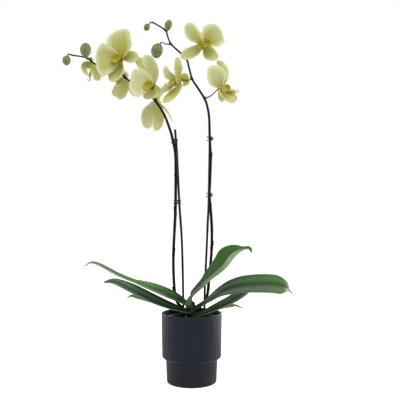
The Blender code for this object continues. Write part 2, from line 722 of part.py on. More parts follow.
def stalk_path(key, points):
    """A stalk's path, which ends just short of what it carries."""
    path = [mm(*p) for p in points]
    if key in BUDS:
        centre, radii, axis, direction = BUDS[key]
        toward = Vector(direction).normalized()
        reach = ellipsoid_reach(radii, Vector(axis), toward) * MM
        middle = mm(*centre)
    else:
        toward = Vector(FLOWERS[key]["back"]).normalized()
        reach = HUB_RADIUS
        middle = flower_hub(FLOWERS[key])
    path.append(middle + toward * (reach + 4 * MM))
    path.append(middle + toward * (reach + GAP))
    return path


def stem_tube(shop, name, points, extra):
    path = [mm(*p) for p in points]
    path[0] += (path[0] - path[1]).normalized() * extra
    return tube(shop, name, path, [r + extra for r in STEM_RADII], sides=3)


def make_spike(shop, name, points, stalks):
    stem = stem_tube(shop, name, points, 0)
    branches = []
    for key, stalk in stalks.items():
        branches.append(tube(shop, f"{name}_{key}", stalk_path(key, stalk), STALK_RADII, sides=3))
    shop.combine(stem, branches, "UNION")
    return promote(shop, stem, name, "spike_dark")


def main():
    shop = Workshop()
    make_pot(shop)
    make_grow_pot(shop)
    make_bark(shop, make_stakes(shop))
    make_leaves(shop)
    slots = [stem_tube(shop, "slot_left", LEFT_STEM[:4], 1.5 * GAP),
             stem_tube(shop, "slot_right", RIGHT_STEM[:4], 1.5 * GAP)]
    make_crown(shop, slots)
    make_spike(shop, "spike_left", LEFT_STEM, LEFT_STALKS)
    make_spike(shop, "spike_right", RIGHT_STEM, RIGHT_STALKS)
    make_clips(shop)
    make_buds(shop)
    for key, spec in FLOWERS.items():
        make_flower(shop, key, spec)


main()
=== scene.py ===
"""A potted moth orchid with two flower spikes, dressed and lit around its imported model.

Everything is in metres, with +Z up and the plant's front towards -Y.
"""

import logging
import math
import random
from bisect import bisect_right
from collections.abc import Callable, Sequence
from dataclasses import dataclass, field
from enum import Enum

import bmesh
import bpy
from mathutils import Matrix, Vector, noise


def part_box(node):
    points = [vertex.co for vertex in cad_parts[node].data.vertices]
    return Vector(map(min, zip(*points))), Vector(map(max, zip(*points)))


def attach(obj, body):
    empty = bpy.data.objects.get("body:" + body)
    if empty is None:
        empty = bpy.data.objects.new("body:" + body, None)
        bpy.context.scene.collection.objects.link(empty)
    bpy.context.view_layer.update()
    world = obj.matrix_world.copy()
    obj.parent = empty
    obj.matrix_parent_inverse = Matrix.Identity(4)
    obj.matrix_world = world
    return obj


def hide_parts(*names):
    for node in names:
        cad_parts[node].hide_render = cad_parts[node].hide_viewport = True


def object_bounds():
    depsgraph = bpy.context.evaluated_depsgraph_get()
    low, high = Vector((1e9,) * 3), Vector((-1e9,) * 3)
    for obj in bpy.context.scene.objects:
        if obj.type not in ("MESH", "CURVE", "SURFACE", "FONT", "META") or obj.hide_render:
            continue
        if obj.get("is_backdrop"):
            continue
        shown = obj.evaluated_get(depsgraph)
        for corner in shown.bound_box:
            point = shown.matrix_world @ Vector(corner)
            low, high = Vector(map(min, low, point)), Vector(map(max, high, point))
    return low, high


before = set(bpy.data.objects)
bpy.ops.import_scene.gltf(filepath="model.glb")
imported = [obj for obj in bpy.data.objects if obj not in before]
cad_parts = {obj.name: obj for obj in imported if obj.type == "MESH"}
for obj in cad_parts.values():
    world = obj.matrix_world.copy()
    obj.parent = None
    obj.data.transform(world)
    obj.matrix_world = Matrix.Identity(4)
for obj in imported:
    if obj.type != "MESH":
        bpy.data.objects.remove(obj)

LOG = logging.getLogger("orchid")
MM = 0.001
BODY = "root"
FRONT = Vector((0, -1, 0))
UP = Vector((0, 0, 1))

Triple = tuple[float, float, float]
Pair = tuple[float, float]
Socket = bpy.types.NodeSocket


class Slot(Enum):
    """The material slots, one for each kind of piece."""

    POT = "pot"
    GROW_POT = "grow_pot"
    BARK = "bark"
    CROWN = "crown"
    LEAF = "leaf"
    SPIKE = "spike"
    STAKE = "stake"
    CLIP = "clip"
    BUD = "bud"
    SEPAL = "sepal"
    PETAL = "petal"
    LIP = "lip"


class Mark(Enum):
    """Numbers that a shape carries on its vertices, for its finish to read."""

    ALONG = "along"  # 0 at the base of a blade or stem, 1 at its tip
    ACROSS = "across"  # -1 at one edge of a blade, 1 at the other
    UNDER = "under"  # 1 on the underside
    TONE = "tone"  # -1 to 2, what sets one leaf or petal apart from the next, as its finish reads it


# --- measures and lines --------------------------------------------------------------------------


def mm(x: float, y: float, z: float) -> Vector:
    """A point or step given in millimetres."""
    return Vector((x, y, z)) * MM


def mix(a: float, b: float, share: float) -> float:
    """The value this share of the way from a to b."""
    return a + (b - a) * share


def ramp(value: float, low: float, high: float) -> float:
    """0 below low, 1 above high, and a smooth rise between them."""
    share = min(1.0, max(0.0, (value - low) / (high - low)))
    return share * share * (3 - 2 * share)


def bearing(angle: float) -> Vector:
    """A level direction, at this angle from +X."""
    return Vector((math.cos(angle), math.sin(angle), 0))


def hump(value: float, middle: float, width: float) -> float:
    """A smooth bump of height 1 at middle."""
    return math.exp(-(((value - middle) / width) ** 2))


@dataclass
class Route:
    """A smooth line through a few points, measured by its length."""

    points: list[Vector]
    lengths: list[float] = field(init=False)

    def __post_init__(self) -> None:
        """Measures how far each point is from the start."""
        self.lengths = [0.0]
        for a, b in zip(self.points, self.points[1:]):
            self.lengths.append(self.lengths[-1] + (b - a).length)

    @property
    def length(self) -> float:
        """The whole length, in metres."""
        return self.lengths[-1]

    @classmethod
    def through(cls, stops: Sequence[Vector], steps: int = 8) -> "Route":
        """A line that passes smoothly through every stop.

        Args:
            stops: the points to pass.
            steps: straight pieces between each two stops.

        Returns:
            The route.
        """
        ends = [stops[0] * 2 - stops[1], *stops, stops[-1] * 2 - stops[-2]]
        line = []
        for a, b, c, d in zip(ends, ends[1:], ends[2:], ends[3:]):
            for k in range(steps):
                t = k / steps
                cubic = -a + b * 3 - c * 3 + d
                line.append((b * 2 + (c - a) * t + (a * 2 - b * 5 + c * 4 - d) * t**2 + cubic * t**3) / 2)
        return cls([*line, stops[-1].copy()])

    @classmethod
    def bowed(cls, start: Vector, end: Vector, bow: Vector, steps: int = 24) -> "Route":
        """A line from start to end whose middle is pushed aside.

        Args:
            start: where it starts.
            end: where it ends.
            bow: how far its middle is moved.
            steps: straight pieces in it.

        Returns:
            The route.
        """
        middle = (start + end) / 2 + bow * 2
        line = []
        for k in range(steps + 1):
            t = k / steps
            line.append(start * (1 - t) ** 2 + middle * (2 * t * (1 - t)) + end * t**2)
        return cls(line)

    def at(self, share: float) -> Vector:
        """The point at this share of the length."""
        wanted = min(1.0, max(0.0, share)) * self.length
        i = min(bisect_right(self.lengths, wanted), len(self.points) - 1)
        low, high = self.lengths[i - 1], self.lengths[i]
        return self.points[i - 1].lerp(self.points[i], (wanted - low) / max(high - low, 1e-9))

    def heading(self, share: float, reach: float = 0.03) -> Vector:
        """The direction of travel at this share of the length."""
        return (self.at(share + reach) - self.at(share - reach)).normalized()


# --- finishes ------------------------------------------------------------------------------------


def from_hex(code: str) -> tuple[float, float, float, float]:
    """An sRGB colour such as #a1b2c3 as the linear values that shaders use."""
    parts = [int(code[i : i + 2], 16) / 255 for i in (1, 3, 5)]
    red, green, blue = (p / 12.92 if p <= 0.04045 else ((p + 0.055) / 1.055) ** 2.4 for p in parts)
    return red, green, blue, 1.0


def per(size: float) -> float:
    """The scale that gives a pattern features of this size in millimetres."""
    return 1000 / size


@dataclass
class Board:
    """The nodes of one surface in the making, with short ways to add the usual ones."""

    tree: bpy.types.NodeTree
    shader: bpy.types.Node

    def add(
        self,
        kind: str,
        inputs: dict[str, object] | None = None,
        stops: Sequence[tuple[float, str]] = (),
        take: str = "",
        **settings: object,
    ) -> Socket:
        """Adds one shader node with its settings and links.

        Args:
            kind: the node's type, without ShaderNode in front.
            inputs: input name to a value, a hex colour, or the output that feeds it.
            stops: places and hex colours, for a colour ramp.
            take: the output to hand back. The first one in use is the default.
            **settings: the node's own options.

        Returns:
            The output.
        """
        node = self.tree.nodes.new("ShaderNode" + kind)
        for name, value in settings.items():
            setattr(node, name, value)
        sockets = {socket.identifier: socket for socket in node.inputs}
        for name, value in (inputs or {}).items():
            self.feed(sockets[name], value)
        for i, (place, code) in enumerate(stops):
            marks = node.color_ramp.elements
            mark = marks[i] if i < 2 else marks.new(place)
            mark.position = place
            mark.color = from_hex(code)
        if take:
            return next(socket for socket in node.outputs if socket.identifier == take)
        return next(socket for socket in node.outputs if socket.enabled)

    def feed(self, socket: Socket, value: object) -> None:
        """Links an input to an output, or sets it to a value or a hex colour."""
        if isinstance(value, Socket):
            self.tree.links.new(value, socket)
        else:
            socket.default_value = from_hex(value) if isinstance(value, str) else value

    def wire(self, **parts: object) -> None:
        """Sets or feeds the surface's own inputs, named with _ for a space."""
        for name, value in parts.items():
            self.feed(self.shader.inputs[name.replace("_", " ")], value)

    def spot(self) -> Socket:
        """Where a point of the piece is, in metres."""
        return self.add("TexCoord", take="Object")

    def mark(self, mark: Mark) -> Socket:
        """A mark that the shape carries."""
        return self.add("Attribute", attribute_name=mark.value, take="Fac")

    def marks(self) -> tuple[Socket, ...]:
        """All four marks: along, across, under and tone."""
        return tuple(self.mark(mark) for mark in Mark)

    def grain(self, spot: Socket, size: float, detail: float, roughness: float = 0.5) -> Socket:
        """Cloudy noise, with features of this size in millimetres."""
        parts = {"Vector": spot, "Scale": per(size), "Detail": detail, "Roughness": roughness}
        return self.add("TexNoise", parts, take="Fac")

    def cells(self, spot: Socket, size: float) -> Socket:
        """The distance from the middles of random cells of this size in millimetres."""
        return self.add("TexVoronoi", {"Vector": spot, "Scale": per(size)}, take="Distance")

    def stripes(
        self, across: Socket, along: Socket, scale: float, bend: float, detail: float, fine: float = 1.0
    ) -> Socket:
        """Wavy stripes that run along a blade.

        Args:
            across: what is counted from stripe to stripe.
            along: what is counted down a stripe.
            scale: how close together they lie.
            bend: how much they wander.
            detail: how many layers of wandering there are.
            fine: how fine the wandering is.

        Returns:
            0 between stripes, 1 on them.
        """
        fan = self.add("CombineXYZ", {"X": across, "Y": along})
        parts = {"Vector": fan, "Scale": scale, "Distortion": bend, "Detail": detail, "Detail Scale": fine}
        return self.add("TexWave", parts, take="Fac")

    def drawn_out(self, spot: Socket, squeeze: float) -> Socket:
        """The same places with their height squeezed, so that a pattern is drawn out along it."""
        return self.add("Mapping", {"Vector": spot, "Scale": (1.0, 1.0, squeeze)})

    def remap(
        self, value: object, low: float = 0, high: float = 1, start: object = 0, end: object = 1
    ) -> Socket:
        """Turns low to high into start to end, and holds it there beyond them."""
        parts = {"Value": value, "From Min": low, "From Max": high, "To Min": start, "To Max": end}
        return self.add("MapRange", parts)

    def total(self, a: object, b: object) -> Socket:
        """The sum of two values."""
        return self.add("Math", {"Value": a, "Value_001": b}, operation="ADD")

    def product(self, a: object, b: object) -> Socket:
        """The product of two values."""
        return self.add("Math", {"Value": a, "Value_001": b}, operation="MULTIPLY")

    def size_of(self, value: object) -> Socket:
        """A value without its sign."""
        return self.add("Math", {"Value": value}, operation="ABSOLUTE")

    def blend(self, share: object, base: object, cover: object) -> Socket:
        """A colour with this share of another one over it."""
        return self.add("Mix", {"Factor_Float": share, "A_Color": base, "B_Color": cover}, data_type="RGBA")

    def switch(self, share: object, off: object, on: object) -> Socket:
        """A number this share of the way from off to on."""
        return self.add("Mix", {"Factor_Float": share, "A_Float": off, "B_Float": on}, data_type="FLOAT")

    def shades(self, value: object, stops: Sequence[tuple[float, str]]) -> Socket:
        """A colour ramp."""
        return self.add("ValToRGB", {"Fac": value}, stops, take="Color")

    def bumps(self, height: Socket, strength: float, depth: float) -> Socket:
        """A surface relief of this depth in metres."""
        return self.add("Bump", {"Height": height, "Strength": strength, "Distance": depth})


@dataclass(frozen=True)
class Finish:
    """A surface as a maker would name it. Each kind says how its nodes are laid out."""

    name: str

    def coat(self) -> bpy.types.Material:
        """Makes the material."""
        material = bpy.data.materials.new(self.name)
        material.use_nodes = True
        tree = material.node_tree
        self.dress(Board(tree, tree.nodes["Principled BSDF"]))
        return material

    def dress(self, board: Board) -> None:
        """Lays out the nodes.

        Args:
            board: the material's nodes.
        """
        raise NotImplementedError


@dataclass(frozen=True)
class SatinStoneware(Finish):
    """Slip-cast stoneware under a satin anthracite glaze.

    To the eye it is a soft broad sheen on the ribs, with the glaze thinner and a little lighter on their
    crests, deeper in the grooves, and a warmer, drier band low on the foot.
    """

    body: str = "#0a0f1f"
    crest: str = "#1a2034"
    groove: str = "#06070c"
    low: str = "#1b191d"
    speckle: str = "#34363d"
    shade: str = "#040405"
    mottle: str = "#0f152b"
    step_height: float = 0.05
    glazed_radius: float = 0.0572
    bore_radius: float = 0.056
    bore_foot: float = 0.085
    band_blur: Pair = (0.002, 0.004)

    def dress(self, board: Board) -> None:
        """Lays out the nodes."""
        spot = board.spot()
        relief = board.mark(Mark.TONE)
        height = board.add("SeparateXYZ", {"Vector": spot}, take="Z")
        fired = board.grain(spot, 22, 4.0)
        thin = board.remap(relief, 0.55, 1, 0, 0.55)
        deep = board.remap(relief, 0.35, 0, 0, 0.8)
        above_step, below_step = self.band_blur
        below = board.remap(height, self.step_height + above_step, self.step_height - below_step, 0, 0.8)
        colour = board.shades(fired, [(0.3, self.body), (0.75, self.mottle)])
        for factor, code in ((below, self.low), (thin, self.crest), (deep, self.groove)):
            colour = board.blend(factor, colour, code)
        # The inner wall below the rim is unglazed, so it is matt, and it is painted nearly black as painted
        # shade inside the pot.
        flat = board.drawn_out(spot, 0.0)
        radius = board.add("VectorMath", {"Vector": flat}, operation="LENGTH", take="Value")
        within = board.remap(radius, self.glazed_radius, self.bore_radius)
        above = board.remap(height, self.bore_foot, self.bore_foot + 0.005)
        inside = board.product(within, above)
        colour = board.blend(inside, colour, self.shade)
        # The satin glaze turns glossier where it is seen edge on.
        facing = board.add("LayerWeight", {"Blend": 0.5}, take="Facing")
        shine = board.remap(facing, 0.35, 0.85, 0.3)
        open_side = board.remap(inside, 0, 1, 1, 0.06)
        shine = board.product(shine, open_side)
        # Iron specks in the clay, about 0.6 mm across.
        specks = board.cells(spot, 2.6)
        fleck = board.remap(specks, 0.13, 0.05, 0, 0.35)
        colour = board.blend(fleck, colour, self.speckle)
        # Pinholes and orange peel in the glaze, drawn at 1 mm so that they show.
        peel = board.grain(spot, 1.0, 5.0)
        rough = board.remap(peel, 0.3, 0.7, 0.36, 0.54)
        skin = board.bumps(peel, 0.25, 0.00015)
        board.wire(Base_Color=colour, Roughness=rough, Normal=skin, Specular_IOR_Level=shine)


@dataclass(frozen=True)
class NurseryPlastic(Finish):
    """Thin vacuum-formed polypropylene, as nursery pots are: near black, greasy sheen, faint draw lines."""

    body: str = "#0f1011"
    scuff: str = "#232425"

    def dress(self, board: Board) -> None:
        """Lays out the nodes."""
        spot = board.spot()
        drawn = board.drawn_out(spot, 0.06)
        lines = board.grain(drawn, 1.5, 3.0)
        dust = board.grain(spot, 9, 8.0)
        colour = board.shades(dust, [(0.45, self.body), (0.8, self.scuff)])
        rough = board.remap(dust, 0, 1, 0.28, 0.6)
        skin = board.bumps(lines, 0.3, 0.0002)
        board.wire(Base_Color=colour, Roughness=rough, Normal=skin, IOR=1.49)


@dataclass(frozen=True)
class PineBark(Finish):
    """Screened pine bark: matt, layered, red brown inside and grey brown on its weathered faces."""

    dark: str = "#2a1a12"
    warm: str = "#5c3a26"
    pale: str = "#8a6648"

    def dress(self, board: Board) -> None:
        """Lays out the nodes."""
        spot = board.spot()
        tone = board.mark(Mark.TONE)
        flakes = board.grain(spot, 3.0, 8.0, 0.65)
        mixed = board.product(tone, 0.55)
        shade = board.total(flakes, mixed)
        stops = [(0.4, self.dark), (0.75, self.warm), (1.05, self.pale)]
        colour = board.shades(shade, stops)
        layers = board.cells(spot, 1.8)
        relief = board.total(flakes, layers)
        skin = board.bumps(relief, 0.8, 0.0006)
        rough = board.remap(flakes, 0, 1, 0.75, 0.98)
        board.wire(Base_Color=colour, Roughness=rough, Normal=skin)


# How much painted sheen lies at each share of the way from a leaf's midrib to its rim, as greys.
PAINTED_SHEEN_BAND = ((0.25, "#000000"), (0.5, "#b4b4b4"), (0.62, "#8c8c8c"), (0.85, "#000000"))


@dataclass(frozen=True)
class LeatheryLeaf(Finish):
    """A moth orchid's leaf: thick, waxy and leathery.

    To the eye it is mid to deep green with fine lengthwise veins, a paler grey-green underside and a waxy
    gloss that turns grey where the light skims it. Its base and the channel along its middle are darker with
    painted shade, a painted grey sheen lies along each half, lit leaves are painted lighter, and a pale end
    is partly age and partly painted sheen.
    """

    deep: str = "#16281a"
    mature: str = "#2f4a31"
    painted_sheen: str = "#6d8573"
    fresh: str = "#45662f"
    bright: str = "#41781c"
    painted_lit_green: str = "#5f9040"
    aged_tip_and_sheen: str = "#8e8c70"
    under: str = "#8c9f82"
    rim: str = "#7f9c58"
    gloss: float = 0.3

    def dress(self, board: Board) -> None:
        """Lays out the nodes."""
        spot = board.spot()
        along, across, under, tone = board.marks()
        blotch = board.grain(spot, 16, 5.0)
        drift = board.remap(blotch, 0, 1, -0.15, 0.15)
        place = board.total(along, drift)
        # A tone up to 1 says how fresh the leaf is, from 1 to 1.5 how much lighter it is painted as a lit
        # leaf, and from 1.5 to 2 how far its end has aged and taken a painted sheen.
        younger = board.remap(tone)
        blade = board.blend(younger, self.mature, self.fresh)
        lit = board.remap(tone, 1, 1.5)
        blade = board.blend(lit, blade, self.painted_lit_green)
        end_age_and_sheen = board.remap(tone, 1.5, 2)
        # Painted shade: the leaf is painted deep green towards its base, down in the shade of the rosette.
        clear_of_base_shade = board.remap(place, 0.08, 0.42)
        colour = board.blend(clear_of_base_shade, self.deep, blade)
        newer = board.remap(place, 0.5, 0.85, 0, 0.9)
        lively = board.remap(tone, 0, 0.3, 0.4)
        greening = board.product(newer, lively)
        colour = board.blend(greening, colour, self.bright)
        # The leaf's end pales to a grey beige, partly its age and partly painted sheen where light skims it.
        spent = board.remap(place, 0.5, 0.8)
        tip_age_and_sheen = board.product(end_age_and_sheen, spent)
        colour = board.blend(tip_age_and_sheen, colour, self.aged_tip_and_sheen)
        # Lengthwise veins, about 1.6 mm apart on a blade 50 mm wide.
        veins = board.stripes(across, along, 5.0, 1.6, 2.0, 1.4)
        away = board.size_of(across)
        # Painted shade: the channel along the middle and the midrib crease are painted deep green.
        wide = board.remap(away, 0.55, 0, 0, 0.55)
        narrow = board.remap(away, 0.06, 0, 0, 0.4)
        painted_channel_shade = board.total(wide, narrow)
        colour = board.blend(painted_channel_shade, colour, self.deep)
        # A painted grey sheen, standing for light skimming the channelled blade, lies along the middle of
        # each half, and the more mature the leaf by its tone, the more of it there is.
        band = board.shades(away, PAINTED_SHEEN_BAND)
        painted_sheen = board.product(band, board.remap(tone, 0, 0.8, 1, 0.15))
        streak = board.remap(veins, 0.45, 1, 0, 0.16)
        edge = board.remap(away, 0.93, 1, 0, 0.5)
        grey = board.shades(blotch, [(0.3, self.rim), (0.7, self.under)])
        for share, cover in ((painted_sheen, self.painted_sheen), (streak, self.deep), (edge, self.rim), (under, grey)):
            colour = board.blend(share, colour, cover)
        wax = board.grain(spot, 5, 6.0)
        rough = board.remap(wax, 0, 1, self.gloss - 0.08, self.gloss + 0.1)
        height = board.total(veins, wax)
        skin = board.bumps(height, 0.3, 0.0002)
        # The base of a leaf is matt, and the wax builds up outwards.
        shine = board.remap(along, 0.1, 0.5, 0.03, 0.28)
        polish = board.remap(along, 0.2, 0.6, 0, 0.08)
        board.wire(Base_Color=colour, Roughness=rough, Normal=skin, Specular_IOR_Level=shine)
        board.wire(Coat_Weight=polish, Coat_Roughness=0.2)


@dataclass(frozen=True)
class PetalTissue(Finish):
    """A petal or sepal: thin, watery tissue that light passes into, with a faint crystalline skin.

    To the eye it is yellow green, stained mustard where it meets the lip, with fine veins that fan out
    from the base and a paler rim. Flowers are painted paler or darker as painted light and shade.
    """

    heart: str = "#b3a628"
    inner: str = "#b3b150"
    outer: str = "#c2c47e"
    pale: str = "#e6e7c8"
    vein: str = "#8f9446"
    painted_shade_green: str = "#999b67"
    stain_reach: float = 0.4

    def dress(self, board: Board) -> None:
        """Lays out the nodes."""
        spot = board.spot()
        along, across, under, tone = board.marks()
        cloud = board.grain(spot, 9, 4.0)
        drift = board.remap(cloud, 0, 1, -0.09, 0.09)
        place = board.total(along, drift)
        reach = self.stain_reach
        wide = min(0.8, reach + 0.4)
        stops = [(0.6 * reach, self.heart), (reach, self.inner), (wide, self.outer), (1.0, self.pale)]
        colour = board.shades(place, stops)
        # A tone over 0 paints the tissue paler, and one under 0 paints it towards a painted shade green. Each
        # tepal's own paleness is part of the tone, and the flower's share of it is painted light and shade.
        colour = board.blend(tone, colour, self.pale)
        painted_shade_share = board.remap(tone, 0, -1)
        colour = board.blend(painted_shade_share, colour, self.painted_shade_green)
        # Veins that fan out from the base, about 2 mm apart at the widest.
        veins = board.stripes(across, along, 3.4, 3.0, 3.0, 1.2)
        lines = board.remap(veins, 0.55, 1, 0, 0.3)
        colour = board.blend(lines, colour, self.vein)
        away = board.size_of(across)
        edge = board.remap(away, 0.5, 1, 0, 0.65)
        colour = board.blend(edge, colour, self.pale)
        behind = board.product(under, 0.25)
        colour = board.blend(behind, colour, self.outer)
        # The skin's cells sparkle a little. They are drawn at 0.5 mm, coarser than life.
        cells = board.cells(spot, 0.5)
        height = board.product(cells, 0.35)
        height = board.total(height, veins)
        skin = board.bumps(height, 0.35, 0.00018)
        rough = board.remap(cloud, 0, 1, 0.45, 0.62)
        board.wire(Base_Color=colour, Roughness=rough, Normal=skin, IOR=1.4)
        board.wire(Subsurface_Weight=0.25, Subsurface_Radius=(1.0, 1.0, 0.6), Subsurface_Scale=0.0012)


@dataclass(frozen=True)
class LipTissue(Finish):
    """The lip: waxy and mustard yellow, with a red-brown throat that breaks into bars and dots."""

    body: str = "#b2a41c"
    edge: str = "#c0b432"
    under: str = "#b3ae52"
    throat: str = "#4a2a06"
    bar: str = "#8c7410"

    def dress(self, board: Board) -> None:
        """Lays out the nodes."""
        spot = board.spot()
        along, across, under, tone = board.marks()
        away = board.size_of(across)
        colour = board.shades(away, [(0.3, self.body), (1.0, self.edge)])
        # Bars across the throat, about 1.2 mm apart.
        bars = board.stripes(along, across, 4.5, 4.0, 2.0)
        fade = board.remap(along, 0.6, 0.25, 0, 0.55)
        barred = board.product(bars, fade)
        colour = board.blend(barred, colour, self.bar)
        inner = board.remap(tone, 0.2, 0.9)
        colour = board.blend(inner, colour, self.throat)
        behind = board.product(under, 0.85)
        colour = board.blend(behind, colour, self.under)
        grain = board.grain(spot, 0.8, 3.0)
        skin = board.bumps(grain, 0.3, 0.0002)
        rough = board.remap(grain, 0, 1, 0.28, 0.45)
        board.wire(Base_Color=colour, Roughness=rough, Normal=skin, IOR=1.42)
        board.wire(Subsurface_Weight=0.2, Subsurface_Radius=(1.0, 0.8, 0.2), Subsurface_Scale=0.0012)


@dataclass(frozen=True)
class StalkSkin(Finish):
    """The skin of a flower spike: smooth and waxy, near black brown, turning olive towards the flowers."""

    dark: str = "#11100e"
    fresh: str = "#77752f"
    flush: str = "#4c2c1c"

    def dress(self, board: Board) -> None:
        """Lays out the nodes."""
        spot = board.spot()
        tone = board.mark(Mark.TONE)
        drawn = board.drawn_out(spot, 0.15)
        fibre = board.grain(drawn, 1.0, 4.0)
        wander = board.remap(fibre, 0, 1, -0.12, 0.12)
        place = board.total(tone, wander)
        stops = [(0.3, self.dark), (0.55, self.flush), (0.8, self.fresh)]
        colour = board.shades(place, stops)
        skin = board.bumps(fibre, 0.35, 0.0002)
        rough = board.remap(fibre, 0, 1, 0.4, 0.58)
        board.wire(Base_Color=colour, Roughness=rough, Normal=skin, Specular_IOR_Level=0.12)


@dataclass(frozen=True)
class BudSkin(Finish):
    """A closed bud: waxy olive green, darker along its seams, with faint lengthwise veins."""

    green: str = "#7d8750"
    shade: str = "#565f33"
    blush: str = "#9aa06a"

    def dress(self, board: Board) -> None:
        """Lays out the nodes."""
        spot = board.spot()
        along, across, _, tone = board.marks()
        cloud = board.grain(spot, 5, 6.0)
        stops = [(0.3, self.shade), (0.5, self.green), (0.75, self.blush)]
        colour = board.shades(cloud, stops)
        colour = board.blend(tone, colour, self.shade)
        veins = board.stripes(across, along, 5.0, 1.5, 2.0)
        lines = board.remap(veins, 0.6, 1, 0, 0.3)
        colour = board.blend(lines, colour, self.shade)
        height = board.total(cloud, veins)
        skin = board.bumps(height, 0.25, 0.0003)
        rough = board.remap(cloud, 0, 1, 0.4, 0.56)
        board.wire(Base_Color=colour, Roughness=rough, Normal=skin, IOR=1.42)
        board.wire(Subsurface_Weight=0.15, Subsurface_Radius=(0.6, 1.0, 0.3), Subsurface_Scale=0.002)


@dataclass(frozen=True)
class GrainedSkin(Finish):
    """A plain skin with one grain, which colours it, roughens it and gives it its relief.

    The grain is its size in millimetres, its detail, and how far it is squeezed along the height. The
    relief is its strength and its depth in metres.
    """

    stops: tuple[tuple[float, str], ...]
    grain: Triple
    relief: Pair
    rough: Pair
    specular: float = 0.5
    ior: float = 1.5

    def dress(self, board: Board) -> None:
        """Lays out the nodes."""
        size, detail, squeeze = self.grain
        spot = board.spot()
        if squeeze != 1:
            spot = board.drawn_out(spot, squeeze)
        grain = board.grain(spot, size, detail)
        colour = board.shades(grain, self.stops)
        skin = board.bumps(grain, *self.relief)
        rough = board.remap(grain, 0, 1, *self.rough)
        board.wire(Base_Color=colour, Roughness=rough, Normal=skin)
        board.wire(Specular_IOR_Level=self.specular, IOR=self.ior)


# A split bamboo stick dyed dark brown: satin, with fine fibres along it and worn reddish streaks.
DYED_CANE = GrainedSkin(
    "Dyed bamboo cane",
    ((0.42, "#191412"), (0.72, "#35241e")),
    (0.7, 5.0, 0.03),
    (0.5, 0.0002),
    (0.42, 0.66),
    specular=0.12,
)
# Injection-moulded nylon: black, satin, with a fine spark-eroded texture.
MOULDED_NYLON = GrainedSkin(
    "Moulded black nylon",
    ((0.3, "#1c1b1b"), (0.8, "#2f2d2c")),
    (0.4, 3.0, 1.0),
    (0.3, 0.0001),
    (0.4, 0.55),
    ior=1.53,
)
# The spongy skin of an orchid's air root: silvery green, matt, with a few brown scars.
ROOT_VELAMEN = GrainedSkin(
    "Root velamen",
    ((0.3, "#6b5238"), (0.42, "#66764c"), (0.6, "#9aa38a")),
    (4, 6.0, 1.0),
    (0.5, 0.0004),
    (0.7, 0.9),
)


@dataclass(frozen=True)
class PaintedSweep(Finish):
    """A matt white studio sweep, evenly lit so that it reads as plain white."""

    paint: str = "#bcbcbc"
    stipple: str = "#c8c8c8"
    glow: float = 0.9
    bounce: float = 0.25

    def dress(self, board: Board) -> None:
        """Lays out the nodes."""
        spot = board.spot()
        roller = board.grain(spot, 6, 2.0)
        colour = board.shades(roller, [(0.0, self.paint), (1.0, self.stipple)])
        seen = board.add("LightPath", take="Is Camera Ray")
        strength = board.switch(seen, self.bounce, self.glow)
        board.wire(Base_Color=colour, Roughness=0.9, Emission_Color=(1, 1, 1, 1))
        board.wire(Emission_Strength=strength, Specular_IOR_Level=0.0)


# --- shapes --------------------------------------------------------------------------------------


